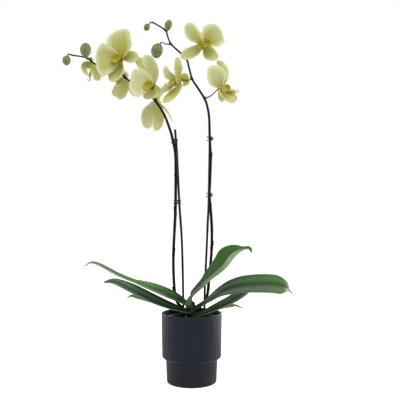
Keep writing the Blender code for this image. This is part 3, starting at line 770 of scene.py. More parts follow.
class Shape:
    """One piece in the making: a bmesh, and the marks its vertices carry."""

    def __init__(self) -> None:
        """Starts with nothing in it."""
        self.mesh = bmesh.new()
        self.marks = {mark: self.mesh.verts.layers.float.new(mark.value) for mark in Mark}
        self.placed = self.mesh.verts.layers.int.new("placed")

    def fresh(self) -> list[bmesh.types.BMVert]:
        """The vertices made since this was last asked, which it notes as placed."""
        found = [vert for vert in self.mesh.verts if not vert[self.placed]]
        for vert in found:
            vert[self.placed] = 1
        return found

    def mark(self, vert: bmesh.types.BMVert, **values: float) -> None:
        """Writes marks on a vertex, by their names in lower case."""
        for name, value in values.items():
            vert[self.marks[Mark(name)]] = value

    def sheet(self, rings: int, across: int, row: "Callable[[float], Row]", ease: float = 1.0) -> None:
        """Adds a thin closed blade: two skins and the rim that joins them.

        Args:
            rings: steps along it.
            across: steps from edge to edge.
            row: what gives the blade's cross section at a share of its length.
            ease: over 1, the steps get shorter towards the tip.
        """
        mesh = self.mesh
        rows: dict[int, Row] = {}
        rim: list[bmesh.types.BMEdge] = []
        faces: list[bmesh.types.BMFace] = []
        for under in (0, 1):
            bmesh.ops.create_grid(mesh, x_segments=rings, y_segments=across, size=1)
            verts = self.fresh()
            for vert in verts:
                step = round((vert.co.x + 1) / 2 * rings)
                side = vert.co.y
                share = 1 - (1 - step / rings) ** ease
                if step not in rows:
                    rows[step] = row(share)
                section = rows[step]
                spot, face, thick = section.spot(side)
                vert.co = spot + face * (thick / 2 * (1 - 2 * under))
                self.mark(vert, along=share, across=side, under=under, tone=section.tone(side))
            skin = {f for vert in verts for f in vert.link_faces}
            faces += skin
            rim += {e for f in skin for e in f.edges if len(e.link_faces) == 1}
        faces += bmesh.ops.bridge_loops(mesh, edges=rim)["faces"]
        self.face_out(faces)

    def face_out(self, faces: Sequence[bmesh.types.BMFace]) -> None:
        """Turns the faces of a closed form outwards."""
        self.mesh.normal_update()
        bmesh.ops.recalc_face_normals(self.mesh, faces=faces)
        if sum(f.calc_center_median().dot(f.normal) * f.calc_area() for f in faces) < 0:
            bmesh.ops.reverse_faces(self.mesh, faces=faces)

    def rod(
        self,
        route: Route,
        radius: Callable[[float], float],
        steps: int,
        sides: int = 10,
        tone: Callable[[float], float] = lambda share: 0.0,
        flat: float = 1.0,
        under: float = 0.0,
    ) -> None:
        """Adds a closed round bar along a route.

        Args:
            route: its middle line.
            radius: its radius at a share of its length.
            steps: rings along it.
            sides: faces round it.
            tone: its tone mark at a share of its length.
            flat: its thickness one way over its thickness the other way.
            under: its under mark.
        """
        mesh = self.mesh
        bmesh.ops.create_cone(mesh, cap_ends=True, segments=sides, radius1=1, radius2=1, depth=2)
        bar = [vert for vert in mesh.verts if not vert[self.placed]]
        edges = {e for v in bar for e in v.link_edges}
        long_edges = [e for e in edges if abs(e.verts[0].co.z - e.verts[1].co.z) > 1]
        bmesh.ops.subdivide_edges(mesh, edges=long_edges, cuts=steps - 1, use_grid_fill=True)
        verts = self.fresh()
        frames = self.frames(route, steps)
        for vert in verts:
            step = round((vert.co.z + 1) / 2 * steps)
            share = step / steps
            spot, side, lift = frames[step]
            size = radius(share)
            around = math.atan2(vert.co.y, vert.co.x) / math.pi
            self.mark(vert, along=share, across=around, under=under, tone=tone(share))
            vert.co = spot + side * (vert.co.x * size) + lift * (vert.co.y * size * flat)
        self.face_out(list({f for v in verts for f in v.link_faces}))

    @staticmethod
    def frames(route: Route, steps: int) -> list[tuple[Vector, Vector, Vector]]:
        """Places along a route, each with two directions across it that don't twist.

        Args:
            route: the line.
            steps: how many places, less one.

        Returns:
            The point and the two directions at each.
        """
        side = route.heading(0).orthogonal().normalized()
        found = []
        for i in range(steps + 1):
            ahead = route.heading(i / steps, 0.5 / steps)
            side = (side - ahead * side.dot(ahead)).normalized()
            found.append((route.at(i / steps), side.copy(), ahead.cross(side)))
        return found

    def ball(
        self,
        centre: Vector,
        radii: Sequence[float],
        axis: Vector = UP,
        segments: int = 24,
        rings: int = 16,
        form: Callable[[Vector], tuple[Vector, float]] | None = None,
    ) -> None:
        """Adds an egg shape.

        Args:
            centre: its middle.
            radii: its half sizes, the last one along its axis.
            axis: the way it points.
            segments: faces round it.
            rings: faces from end to end.
            form: changes a point of the unit sphere, and gives the tone there.
        """
        bmesh.ops.create_uvsphere(self.mesh, u_segments=segments, v_segments=rings, radius=1)
        verts = self.fresh()
        turn = UP.rotation_difference(axis.normalized()).to_matrix()
        for vert in verts:
            spot, tone = form(vert.co.copy()) if form else (vert.co.copy(), 0.0)
            around = math.atan2(vert.co.y, vert.co.x) / math.pi
            self.mark(vert, along=(vert.co.z + 1) / 2, across=around, tone=tone)
            vert.co = centre + turn @ Vector(a * b for a, b in zip(spot, radii))

    def turned(self, profile: Sequence[tuple[float, float, float]], steps: int) -> None:
        """Adds a solid turned round the Z axis.

        Args:
            profile: (radius, height, tone) from axis to axis, down its inside and up its outside.
            steps: faces round it.
        """
        mesh = self.mesh
        line = []
        for radius, height, tone in profile:
            vert = mesh.verts.new((radius, 0, height))
            self.mark(vert, tone=tone)
            line.append(vert)
        edges = [mesh.edges.new(pair) for pair in zip(line, line[1:])]
        bmesh.ops.spin(
            mesh,
            geom=[*line, *edges],
            cent=(0, 0, 0),
            axis=(0, 0, 1),
            angle=2 * math.pi,
            steps=steps,
            use_merge=True,
        )
        bmesh.ops.remove_doubles(mesh, verts=mesh.verts[:], dist=0.01 * MM)
        bmesh.ops.recalc_face_normals(mesh, faces=mesh.faces[:])
        self.fresh()


@dataclass
class Row:
    """A blade's cross section at one place along it."""

    here: Vector
    width: Vector
    face: Vector
    half: float
    lift: float = 0.0
    cup: float = 0.0
    thick: float = 0.5 * MM
    edge: float = 0.3 * MM
    groove: float = 0.0
    groove_width: float = 1.5 * MM
    wave: Callable[[float], float] = lambda side: 0.0
    tone: Callable[[float], float] = lambda side: 0.0

    def spot(self, side: float) -> tuple[Vector, Vector, float]:
        """A point of the section.

        Args:
            side: -1 at one edge, 1 at the other.

        Returns:
            The point midway through the blade, the way its face looks, and its thickness.
        """
        reach = side * self.half
        fold = math.hypot(reach, 0.12 * self.half) - 0.12 * self.half
        height = fold * math.sin(self.lift) + self.cup * side * side * self.half
        height -= self.groove * math.exp(-((reach / self.groove_width) ** 2))
        height += self.wave(side)
        point = self.here + self.width * (reach * math.cos(self.lift)) + self.face * height
        slope = math.copysign(min(1.0, abs(side) * 3), side) * math.sin(self.lift)
        slope += 2 * self.cup * side
        face = (self.face - self.width * slope).normalized()
        thick = mix(self.thick, self.edge, abs(side) ** 3)
        return point, face, min(thick, 0.9 * self.half)


@dataclass
class Blade:
    """A leaf, petal or sepal: a spine, an outline round it, and the way it folds and cups.

    A pair is a value at the base and one at the tip. The outline is the width at the base as a share of
    the greatest, where the greatest is along the spine, and how blunt the tip is.
    """

    spine: Route
    half: float
    normal: Vector
    front: Vector = field(default_factory=lambda: FRONT.copy())
    roll: Pair = (0, 0)
    fold: Pair = (0, 0)
    cup: float = 0.0
    outline: Triple = (0.28, 0.55, 0.5)
    thick: float = 0.55 * MM
    edge: float = 0.25 * MM
    groove: float = 0.0
    ruffle: float = 0.0
    uneven: float = 0.0
    drip: float = 0.0
    neck: float = 0.07
    rise: float = 1.0
    seed: float = 0.0
    tone: float = 0.0

    def half_width(self, share: float) -> float:
        """Half the width at this share of the length."""
        base, peak, sharp = self.outline
        if share < peak:
            return self.half * mix(base, 1, math.sin(0.5 * math.pi * share / peak) ** self.rise)
        x = min(1.0, (share - peak) / (1 - self.drip - peak))
        tail = max(0.0, (share - 1 + self.drip) / self.drip) if self.drip else 1.0
        least = max(self.neck * (1 - tail**3), 0.02)
        return self.half * max((1 - x * x) ** sharp, least)

    def row(self, share: float) -> Row:
        """The cross section at this share of the length."""
        tangent = self.spine.heading(share)
        face = (self.normal - tangent * self.normal.dot(tangent)).normalized()
        side = self.front - tangent * self.front.dot(tangent) - face * self.front.dot(face)
        if side.length < 1e-6:
            side = tangent.cross(face)
        side.normalize()
        angle = math.radians(mix(*self.roll, share))
        face = face * math.cos(angle) + side * math.sin(angle)
        seed = self.seed
        half = self.half_width(share)
        half *= 1 + self.uneven * noise.noise(Vector((share * 3.6, seed, 4.1)))
        drift = self.uneven * half * noise.noise(Vector((share * 3.1, 9.3, seed))) * min(1.0, share * 3)

        def wave(side_share: float) -> float:
            """How far the edge ripples off the blade."""
            swing = math.copysign(2.0, side_share) + seed
            ripple = noise.noise(Vector((share * 3.2, swing, seed * 1.7)))
            ripple += 0.5 * noise.noise(Vector((share * 7.5, swing * 2, seed)))
            return self.ruffle * abs(side_share) ** 2.5 * ripple * min(1.0, half / self.half * 1.5)

        return Row(
            here=self.spine.at(share) + tangent.cross(face) * drift,
            width=tangent.cross(face),
            face=face,
            half=half,
            lift=math.radians(mix(*self.fold, share)),
            cup=self.cup,
            thick=self.thick,
            edge=self.edge,
            groove=self.groove * min(1.0, half / (0.6 * self.half)) * ramp(1 - share, 0.0, 0.15),
            wave=wave,
            tone=lambda _: self.tone,
        )


@dataclass
class Bench:
    """Where shapes become pieces of the plant, with their finishes and their places in the frame."""

    coats: dict[str, bpy.types.Material] = field(default_factory=dict)
    made: list[str] = field(default_factory=list)

    def coat(self, finish: Finish) -> bpy.types.Material:
        """The material of a finish, made once."""
        if finish.name not in self.coats:
            self.coats[finish.name] = finish.coat()
        return self.coats[finish.name]

    def place(
        self, name: str, shape: Shape, finish: Finish, slot: Slot, nodes: Sequence[str], rounding: int = 0
    ) -> bpy.types.Object:
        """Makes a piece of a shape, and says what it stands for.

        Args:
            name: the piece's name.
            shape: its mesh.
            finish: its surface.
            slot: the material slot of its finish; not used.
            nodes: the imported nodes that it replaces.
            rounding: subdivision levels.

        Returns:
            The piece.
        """
        mesh = bpy.data.meshes.new(name)
        shape.mesh.verts.layers.int.remove(shape.placed)
        shape.mesh.to_mesh(mesh)
        shape.mesh.free()
        mesh.materials.append(self.coat(finish))
        for polygon in mesh.polygons:
            polygon.use_smooth = True
        piece = bpy.data.objects.new(name, mesh)
        bpy.context.scene.collection.objects.link(piece)
        if rounding:
            smooth = piece.modifiers.new("Rounding", "SUBSURF")
            smooth.levels = smooth.render_levels = rounding
        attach(piece, BODY)
        if nodes:
            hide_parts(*nodes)
        self.made.append(name)
        self.report(piece, nodes)
        return piece

    def report(self, piece: bpy.types.Object, nodes: Sequence[str]) -> None:
        """Logs a piece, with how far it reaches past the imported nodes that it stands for."""
        spots = [vert.co for vert in piece.data.vertices]
        low = [min(spot[i] for spot in spots) for i in range(3)]
        high = [max(spot[i] for spot in spots) for i in range(3)]
        past = 0.0
        if nodes:
            boxes = [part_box(node) for node in nodes]
            for i in range(3):
                past = max(past, min(box[0][i] for box in boxes) - low[i])
                past = max(past, high[i] - max(box[1][i] for box in boxes))
        LOG.info("%s: %d faces, %.1f mm past its nodes", piece.name, len(piece.data.polygons), past / MM)


# --- the pot and what is in it -------------------------------------------------------------------


def eased(corners: Sequence[Triple], steps: int = 4) -> list[Pair]:
    """Rounds the corners of a profile.

    Args:
        corners: (radius, height, size of the rounding) of each corner.
        steps: straight pieces in each rounding.

    Returns:
        The rounded profile's points.
    """
    spots = [Vector(corner[:2]) for corner in corners]
    line = [spots[0]]
    for i in range(1, len(corners) - 1):
        before, spot, after = spots[i - 1 : i + 2]
        size = corners[i][2]
        start = spot + (before - spot).normalized() * min(size, (before - spot).length * 0.49)
        end = spot + (after - spot).normalized() * min(size, (after - spot).length * 0.49)
        for k in range(steps + 1 if size else 1):
            t = k / steps
            line.append(start * (1 - t) ** 2 + spot * (2 * t * (1 - t)) + end * t**2 if size else spot)
    return [tuple(point) for point in [*line, spots[-1]]]


@dataclass
class CoverPot:
    """The ceramic cover pot: a wide ribbed band that steps in to a narrower ribbed foot."""

    wall: float = 4 * MM
    floor: float = 6 * MM
    ribs: int = 62
    rib_depth: float = 0.95 * MM
    step_height: float = 51 * MM
    step_inset: float = 1.5 * MM
    waist_radius: float = 51.5 * MM
    foot_radius: float = 49.5 * MM
    finish: Finish = SatinStoneware("Satin glazed stoneware")

    def build(self, bench: Bench) -> None:
        """Turns the wall, then presses the ribs into its outside.

        Args:
            bench: where the piece goes.
        """
        _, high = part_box("pot")
        rim, top, step = high.x, high.z, self.step_height
        step_radius = rim - self.step_inset
        bore = self.waist_radius - self.wall - MM
        inside = [
            (0, self.floor, 0),
            (bore, self.floor, 3 * MM),
            (bore, step - MM, 3 * MM),
            (step_radius - self.wall, step + 7 * MM, 3 * MM),
            (rim - self.wall, top - 0.2 * MM, 1.4 * MM),
        ]
        outside = [
            (rim - self.wall, top, 1.2 * MM),
            (rim, top, 1.4 * MM),
            (step_radius, step - 0.2 * MM, 2.6 * MM),
            (self.waist_radius, step - 5 * MM, 1.2 * MM),
            (self.foot_radius, 0.2 * MM, 3.4 * MM),
            (self.foot_radius - 6 * MM, 0, 0.8 * MM),
            (self.foot_radius - 7 * MM, 1.2 * MM, 0.8 * MM),
            (0, 1.2 * MM, 0),
        ]
        shape = Shape()
        shape.turned([(r, z, 0.5) for r, z in eased([*inside, *outside])], 8 * self.ribs)
        for vert in shape.mesh.verts:
            x, y, z = vert.co
            radius = math.hypot(x, y)
            limit = self.foot_radius - 3 * MM if z < step - 2 * MM else step_radius - 3 * MM
            if radius < limit or (z > step and radius < rim - 2.2 * MM):
                continue
            depth = ramp(top - z, 0.3 * MM, 1.6 * MM) * ramp(z, 0.4 * MM, 3 * MM)
            crest = abs(math.cos(math.atan2(y, x) * self.ribs / 2)) ** 0.8
            shrink = 1 - self.rib_depth * (1 - crest) * depth / radius
            vert.co.x, vert.co.y = x * shrink, y * shrink
            shape.mark(vert, tone=mix(0.5, crest, depth))
        bench.place("cover_pot", shape, self.finish, Slot.POT, ["pot"])


@dataclass
class GrowPot:
    """The thin plastic pot inside, with a rolled rim and drain holes."""

    wall: float = 1.2 * MM
    foot_radius: float = 41 * MM
    holes: int = 5
    hole_ring: Pair = (22 * MM, 30 * MM)
    sides: int = 120
    finish: Finish = NurseryPlastic("Vacuum formed polypropylene")

    def build(self, bench: Bench) -> None:
        """Turns the wall and opens the drain holes in its floor.

        Args:
            bench: where the piece goes.
        """
        low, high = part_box("grow_pot")
        rim, top, foot = high.x, high.z, low.z
        neck = rim - 2 * MM
        inner, outer = self.hole_ring
        corners = [
            (0, foot + self.wall, 0),
            (inner, foot + self.wall, 0),
            (outer, foot + self.wall, 0),
            (self.foot_radius - self.wall, foot + self.wall, 2 * MM),
            (neck - self.wall, top, 0.6 * MM),
            (rim, top, 0.8 * MM),
            (rim, top - 5 * MM, 0.4 * MM),
            (rim - MM, top - 5 * MM, 0.4 * MM),
            (neck - 0.6 * MM, top - 3 * MM, 0.6 * MM),
            (self.foot_radius, foot, 2 * MM),
            (outer, foot, 0),
            (inner, foot, 0),
            (0, foot, 0),
        ]
        shape = Shape()
        shape.turned([(r, z, 0.0) for r, z in eased(corners, 3)], self.sides)
        mesh = shape.mesh
        for i in range(self.holes):
            toward = bearing(2 * math.pi * i / self.holes)
            cut = []
            for face in mesh.faces:
                spot = face.calc_center_median()
                reach = spot.xy.length
                level = spot.z < foot + self.wall + 0.1 * MM
                if level and inner + MM < reach < outer - MM and toward.xy.dot(spot.xy) > 0.97 * reach:
                    cut.append(face)
            bmesh.ops.delete(mesh, geom=cut, context="FACES")
            edges = [edge for edge in mesh.edges if edge.is_boundary]
            bmesh.ops.bridge_loops(mesh, edges=edges)
        bmesh.ops.recalc_face_normals(mesh, faces=mesh.faces[:])
        bench.place("grow_pot_liner", shape, self.finish, Slot.GROW_POT, ["grow_pot"])


@dataclass
class BarkBed:
    """The bark mix: a rough bed with loose chips on top, and a few air roots over it.

    A root's course is its reach from the middle and its height over the bed, in millimetres.
    """

    chips: int = 190
    seed: int = 5
    sides: int = 72
    root_count: int = 6
    root_course: tuple[Pair, ...] = ((5, 9), (13, 7.4), (22, 6.2), (31, 4.5), (39, -3))
    finish: Finish = PineBark("Screened pine bark")
    root_finish: Finish = ROOT_VELAMEN

    def build(self, bench: Bench) -> None:
        """Makes the bed, its chips and the roots.

        Args:
            bench: where the pieces go.
        """
        low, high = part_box("bark")
        top, foot = high.z - 3 * MM, low.z
        wide = high.x
        rng = random.Random(self.seed)
        shape = Shape()
        level = top - 2.5 * MM
        profile = [(0, level, 0.3)]
        profile += [(wide * 0.96 * i / 14, level, 0.3) for i in range(1, 15)]
        for i in range(1, 9):
            profile.append((mix(wide * 0.965, wide * 0.8, i / 8), mix(level, foot, i / 8), 0.2))
        profile += [(wide * 0.4, foot, 0.2), (0, foot, 0.2)]
        shape.turned(profile, self.sides)
        for vert in shape.mesh.verts:
            if vert.co.z > level - MM and vert.co.xy.length < wide * 0.93:
                vert.co.z += 2.2 * MM * noise.noise(vert.co * per(9))
        for _ in range(self.chips):
            self.chip(shape, rng, wide * 0.9, level)
        bench.place("bark_chips", shape, self.finish, Slot.BARK, ["bark"])
        self.roots(bench, level, rng)

    def chip(self, shape: Shape, rng: random.Random, wide: float, level: float) -> None:
        """Adds one chip of bark at a random place on the bed.

        Args:
            shape: what it joins.
            rng: the source of its size and place.
            wide: how far out it may lie.
            level: the bed's height.
        """
        mesh = shape.mesh
        verts = bmesh.ops.create_cube(mesh, size=1)["verts"]
        edges = list({edge for vert in verts for edge in vert.link_edges})
        bmesh.ops.bevel(mesh, geom=edges, offset=0.18, segments=1, affect="EDGES", material=-1)
        size = Vector((rng.uniform(7, 14), rng.uniform(5, 9), rng.uniform(2.2, 4))) * MM
        tone = rng.random()
        reach = math.sqrt(rng.uniform(0.03, 1)) * (wide - size.x / 2)
        around = rng.uniform(0, 2 * math.pi)
        height = level + rng.uniform(0.3, 2.6) * MM
        spot = Vector((reach * math.cos(around), reach * math.sin(around), height))
        turn = Matrix.Rotation(rng.uniform(0, math.pi), 3, "Z")
        turn = turn @ Matrix.Rotation(rng.uniform(-0.3, 0.3), 3, "X")
        turn = turn @ Matrix.Rotation(rng.uniform(-0.3, 0.3), 3, "Y")
        tone += 0.15 * noise.noise(spot * 500)
        for vert in shape.fresh():
            rough = 1 + 0.16 * noise.noise(vert.co * 2.3 + spot * 900)
            bent = Vector(a * b * rough for a, b in zip(vert.co, size))
            shape.mark(vert, tone=tone)
            vert.co = spot + turn @ bent

    def roots(self, bench: Bench, level: float, rng: random.Random) -> None:
        """Lays air roots from the crown over the chips and down among them.

        Args:
            bench: where the piece goes.
            level: the bed's height.
            rng: the source of their bends.
        """
        shape = Shape()
        for i in range(self.root_count):
            around = math.radians(20 + 61 * i)
            stops = []
            for k, (reach, height) in enumerate(self.root_course):
                bend = around + 0.25 * k * (1 if i % 2 else -1) + rng.uniform(-0.1, 0.1)
                stops.append(bearing(bend) * reach * MM + UP * (level + height * MM))
            route = Route.through(stops, 10)
            thick = rng.uniform(1.7, 2.2) * MM
            shape.rod(route, lambda t, thick=thick: thick * (1 + 0.1 * math.sin(17 * t)), 30, 10)
        bench.place("air_roots", shape, self.root_finish, Slot.BARK, ["bark"])


# --- leaves and crown ----------------------------------------------------------------------------


@dataclass(frozen=True)
class Leaf:
    """One leaf's measures, in millimetres and degrees.

    The spine runs from the crown to the tip, and half is half the greatest width. The rest is as in Blade:
    drip is the share of the length that is a narrow neck at the tip, and neck is how wide that is.
    """

    spine: tuple[Triple, ...]
    half: float
    up: Triple
    roll: Pair
    fold: Pair
    outline: Triple
    tone: float = 0.0
    drip: float = 0.0
    neck: float = 0.07
    rise: float = 1.0


LEAVES = {
    "leaf_left_long": Leaf(
        ((-4.5, -3, 150), (-31, -10, 167), (-81, -14, 189), (-140, -16, 213), (-192, -16, 239),
         (-215, -16, 230)),
        22, (0.3, 0, 1), (15, 24), (16, 8), (0.55, 0.24, 1.5), 2.0, 0.38, 0.34,
    ),
    "leaf_left_low": Leaf(
        ((-5, -6, 138.5), (-30, -22, 147), (-55, -31, 156), (-80, -36, 167.5),
         (-110, -40, 184), (-135, -42, 197.5), (-152, -43, 204.5), (-170, -44, 204)),
        26, (0.3, 0, 1), (12, 16), (24, 10), (0.32, 0.5, 0.7), 0.0,
    ),
    "leaf_left_rear": Leaf(
        ((-6, 5, 133), (-30, 10, 141), (-60, 24, 149), (-85, 38, 154), (-112, 47, 160), (-127, 48, 163.5),
         (-136, 49, 158)),
        13, (0.2, 0, 1), (0, 12), (14, 6), (0.4, 0.6, 0.5), 1.2,
    ),
    "leaf_upright": Leaf(
        ((1, -2, 152), (-0.5, -9, 168), (11, -17, 182), (24, -24, 194), (37, -29, 207), (53, -31, 219),
         (69, -32, 233), (80.5, -32, 248), (92, -32, 260.5), (104, -32, 267), (113, -33, 267),
         (118, -34, 260)),
        36, (-0.6, 0, 0.8), (8, 28), (26, 56), (0.45, 0.7, 1.2), 0.7, 0.08, 0.17, 4.0,
    ),
    "leaf_right_broad": Leaf(
        ((5, -3, 146), (22.5, -10, 155), (40, -20, 168), (57.5, -28, 181), (71, -33, 188), (94.5, -37, 195),
         (114, -39, 197.5), (137, -40, 199), (162, -40, 198.5), (181, -40, 194), (191.5, -40, 186),
         (199, -40, 179.5)),
        32, (-0.2, 0, 1), (23, 30), (20, 2), (0.2, 0.8, 0.6), 0.3, 0.06,
    ),
    "leaf_right_low": Leaf(
        ((5.5, -7, 133), (28, -22, 139.5), (50, -24, 148.5), (76, -20, 160), (94, -16, 170.5),
         (108, -12, 180.5),
         (122, -8, 189), (136, -4, 194)),
        22, (-0.3, 0, 1), (12, 14), (22, 14), (0.34, 0.55, 0.55), 0.35,
    ),
    "leaf_right_rear": Leaf(
        ((6, 5, 131.5), (30, 10, 137.5), (58, 20, 143.5), (76, 25, 146), (89, 27, 147.5), (103, 28, 142)),
        10, (-0.1, 0, 1), (0, 10), (10, 6), (0.5, 0.6, 0.5), 1.5,
    ),
}


@dataclass
class LeafRosette:
    """All the leaves, and the crown that they grow from."""

    thick: float = 2.0 * MM
    edge: float = 1.0 * MM
    groove: float = 0.9 * MM
    ruffle: float = 0.9 * MM
    crown_radius: float = 9.5 * MM
    leaf_finish: Finish = LeatheryLeaf("Waxy orchid leaf")
    # The sheaths' greens are painted darker than the leaves', as painted shade deep in the rosette.
    crown_finish: Finish = LeatheryLeaf(
        "Leaf sheath",
        deep="#101c0c",
        mature="#1c3015",
        painted_sheen="#22381a",
        fresh="#2c4a1c",
        bright="#2c4a1c",
        painted_lit_green="#2c4a1c",
        under="#22361a",
        rim="#2c4420",
        gloss=0.5,
    )

    def blade(self, leaf: Leaf, seed: float) -> Blade:
        """The blade of one leaf.

        Args:
            leaf: its measures.
            seed: what makes its ripples its own.

        Returns:
            The blade.
        """
        return Blade(
            spine=Route.through([mm(*stop) for stop in leaf.spine], 10),
            half=leaf.half * MM,
            normal=Vector(leaf.up).normalized(),
            roll=leaf.roll,
            fold=leaf.fold,
            outline=leaf.outline,
            thick=self.thick,
            edge=self.edge,
            groove=self.groove,
            ruffle=self.ruffle,
            seed=seed,
            tone=leaf.tone,
            drip=leaf.drip,
            neck=leaf.neck,
            rise=leaf.rise,
        )

    def build(self, bench: Bench) -> None:
        """Makes the leaves, then the crown with a sheath for each of them.

        Args:
            bench: where the pieces go.
        """
        crown = Shape()
        low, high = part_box("crown")
        centre = (low + high) / 2
        centre.x = centre.y = 0
        radii = (self.crown_radius, self.crown_radius, (high.z - low.z) / 2)
        crown.ball(centre, radii, UP, 40, 28, self.ringed)
        for seed, (name, leaf) in enumerate(LEAVES.items()):
            blade = self.blade(leaf, seed * 3.1)
            shape = Shape()
            shape.sheet(56, 16, blade.row, 1.5)
            bench.place(name + "_blade", shape, self.leaf_finish, Slot.LEAF, [name], 1)
            self.sheath(crown, blade)
        bench.place("crown_stem", crown, self.crown_finish, Slot.CROWN, ["crown"], 1)

    @staticmethod
    def ringed(spot: Vector) -> tuple[Vector, float]:
        """Gives the crown the rings that old sheaths leave."""
        ring = math.sin(spot.z * 16) * 0.035
        return Vector((spot.x * (0.94 + ring), spot.y * (0.94 + ring), spot.z)), 0.5 + ring * 8

    @staticmethod
    def sheath(crown: Shape, blade: Blade) -> None:
        """Wraps the foot of a leaf round the crown.

        Args:
            crown: what it joins.
            blade: the leaf.
        """
        foot = blade.spine.at(0)
        ahead = blade.spine.at(0.12)
        out = Vector((ahead.x - foot.x, ahead.y - foot.y, 0)).normalized()
        if out.length < 0.5:
            out = FRONT
        lower = Vector((foot.x * 0.4, foot.y * 0.4, foot.z - 8 * MM)) + out * 7.0 * MM
        middle = foot + out * 4 * MM - UP * 1.5 * MM
        spine = Route.through([lower, middle, foot.lerp(ahead, 0.55) - UP * 1.2 * MM], 10)
        wrap = Blade(
            spine=spine,
            half=7.5 * MM,
            normal=out * 0.8 - UP * 0.6,
            fold=(-38, -20),
            cup=-0.25,
            outline=(0.85, 0.4, 0.5),
            thick=1.3 * MM,
            edge=0.6 * MM,
            tone=0.4,
        )
        crown.sheet(14, 10, wrap.row, 1.6)


# --- stakes and clips ----------------------------------------------------------------------------


STAKES = {
    "stake_left": ((-16, 25, 30), (-17.5, 22.5, 160), (-20, 18.5, 275), (-25.5, 16, 360), (-30, 15.2, 457),
                   (-32.2, 15, 483), (-33.8, 15, 506)),
    "stake_right": ((25, 25, 30), (26, 23, 168), (29.5, 21, 250), (32.5, 19.5, 320), (34, 19, 353),
                    (35.3, 18.6, 420), (36.5, 18.5, 495)),
}

CLIPS = {
    "clip_left_low": ((-32.7, 12, 359), (-25.4, 16, 359)),
    "clip_left_high": ((-37.9, 12, 482), (-32.1, 15, 482)),
    "clip_right_low": ((35.6, 12, 373), (34.4, 18.9, 373)),
    "clip_right_high": ((36.3, 12, 487), (36.4, 18.5, 487)),
}


@dataclass
class Stakes:
    """The two split canes that carry the spikes."""

    radius: float = 2.65 * MM
    joint_spacing: float = 95 * MM
    finish: Finish = DYED_CANE

    def build(self, bench: Bench) -> None:
        """Makes each stake.

        Args:
            bench: where the pieces go.
        """
        for name, stops in STAKES.items():
            route = Route.through([mm(*stop) for stop in stops], 12)
            shape = Shape()
            shape.rod(route, lambda t, route=route: self.thickness(route, t), 260, 12)
            bench.place(name + "_cane", shape, self.finish, Slot.STAKE, [name])

    def thickness(self, route: Route, share: float) -> float:
        """The cane's radius, with its joints and its sawn ends.

        Args:
            route: the cane's middle line.
            share: how far along it.

        Returns:
            The radius.
        """
        spot = share * route.length
        gap = (spot + 0.4 * self.joint_spacing) % self.joint_spacing - self.joint_spacing / 2
        joint = 0.1 * math.exp(-((gap / (1.6 * MM)) ** 2))
        end = min(spot, route.length - spot)
        return self.radius * (0.9 + joint) * mix(0.78, 1, ramp(end, 0, 1.2 * MM))


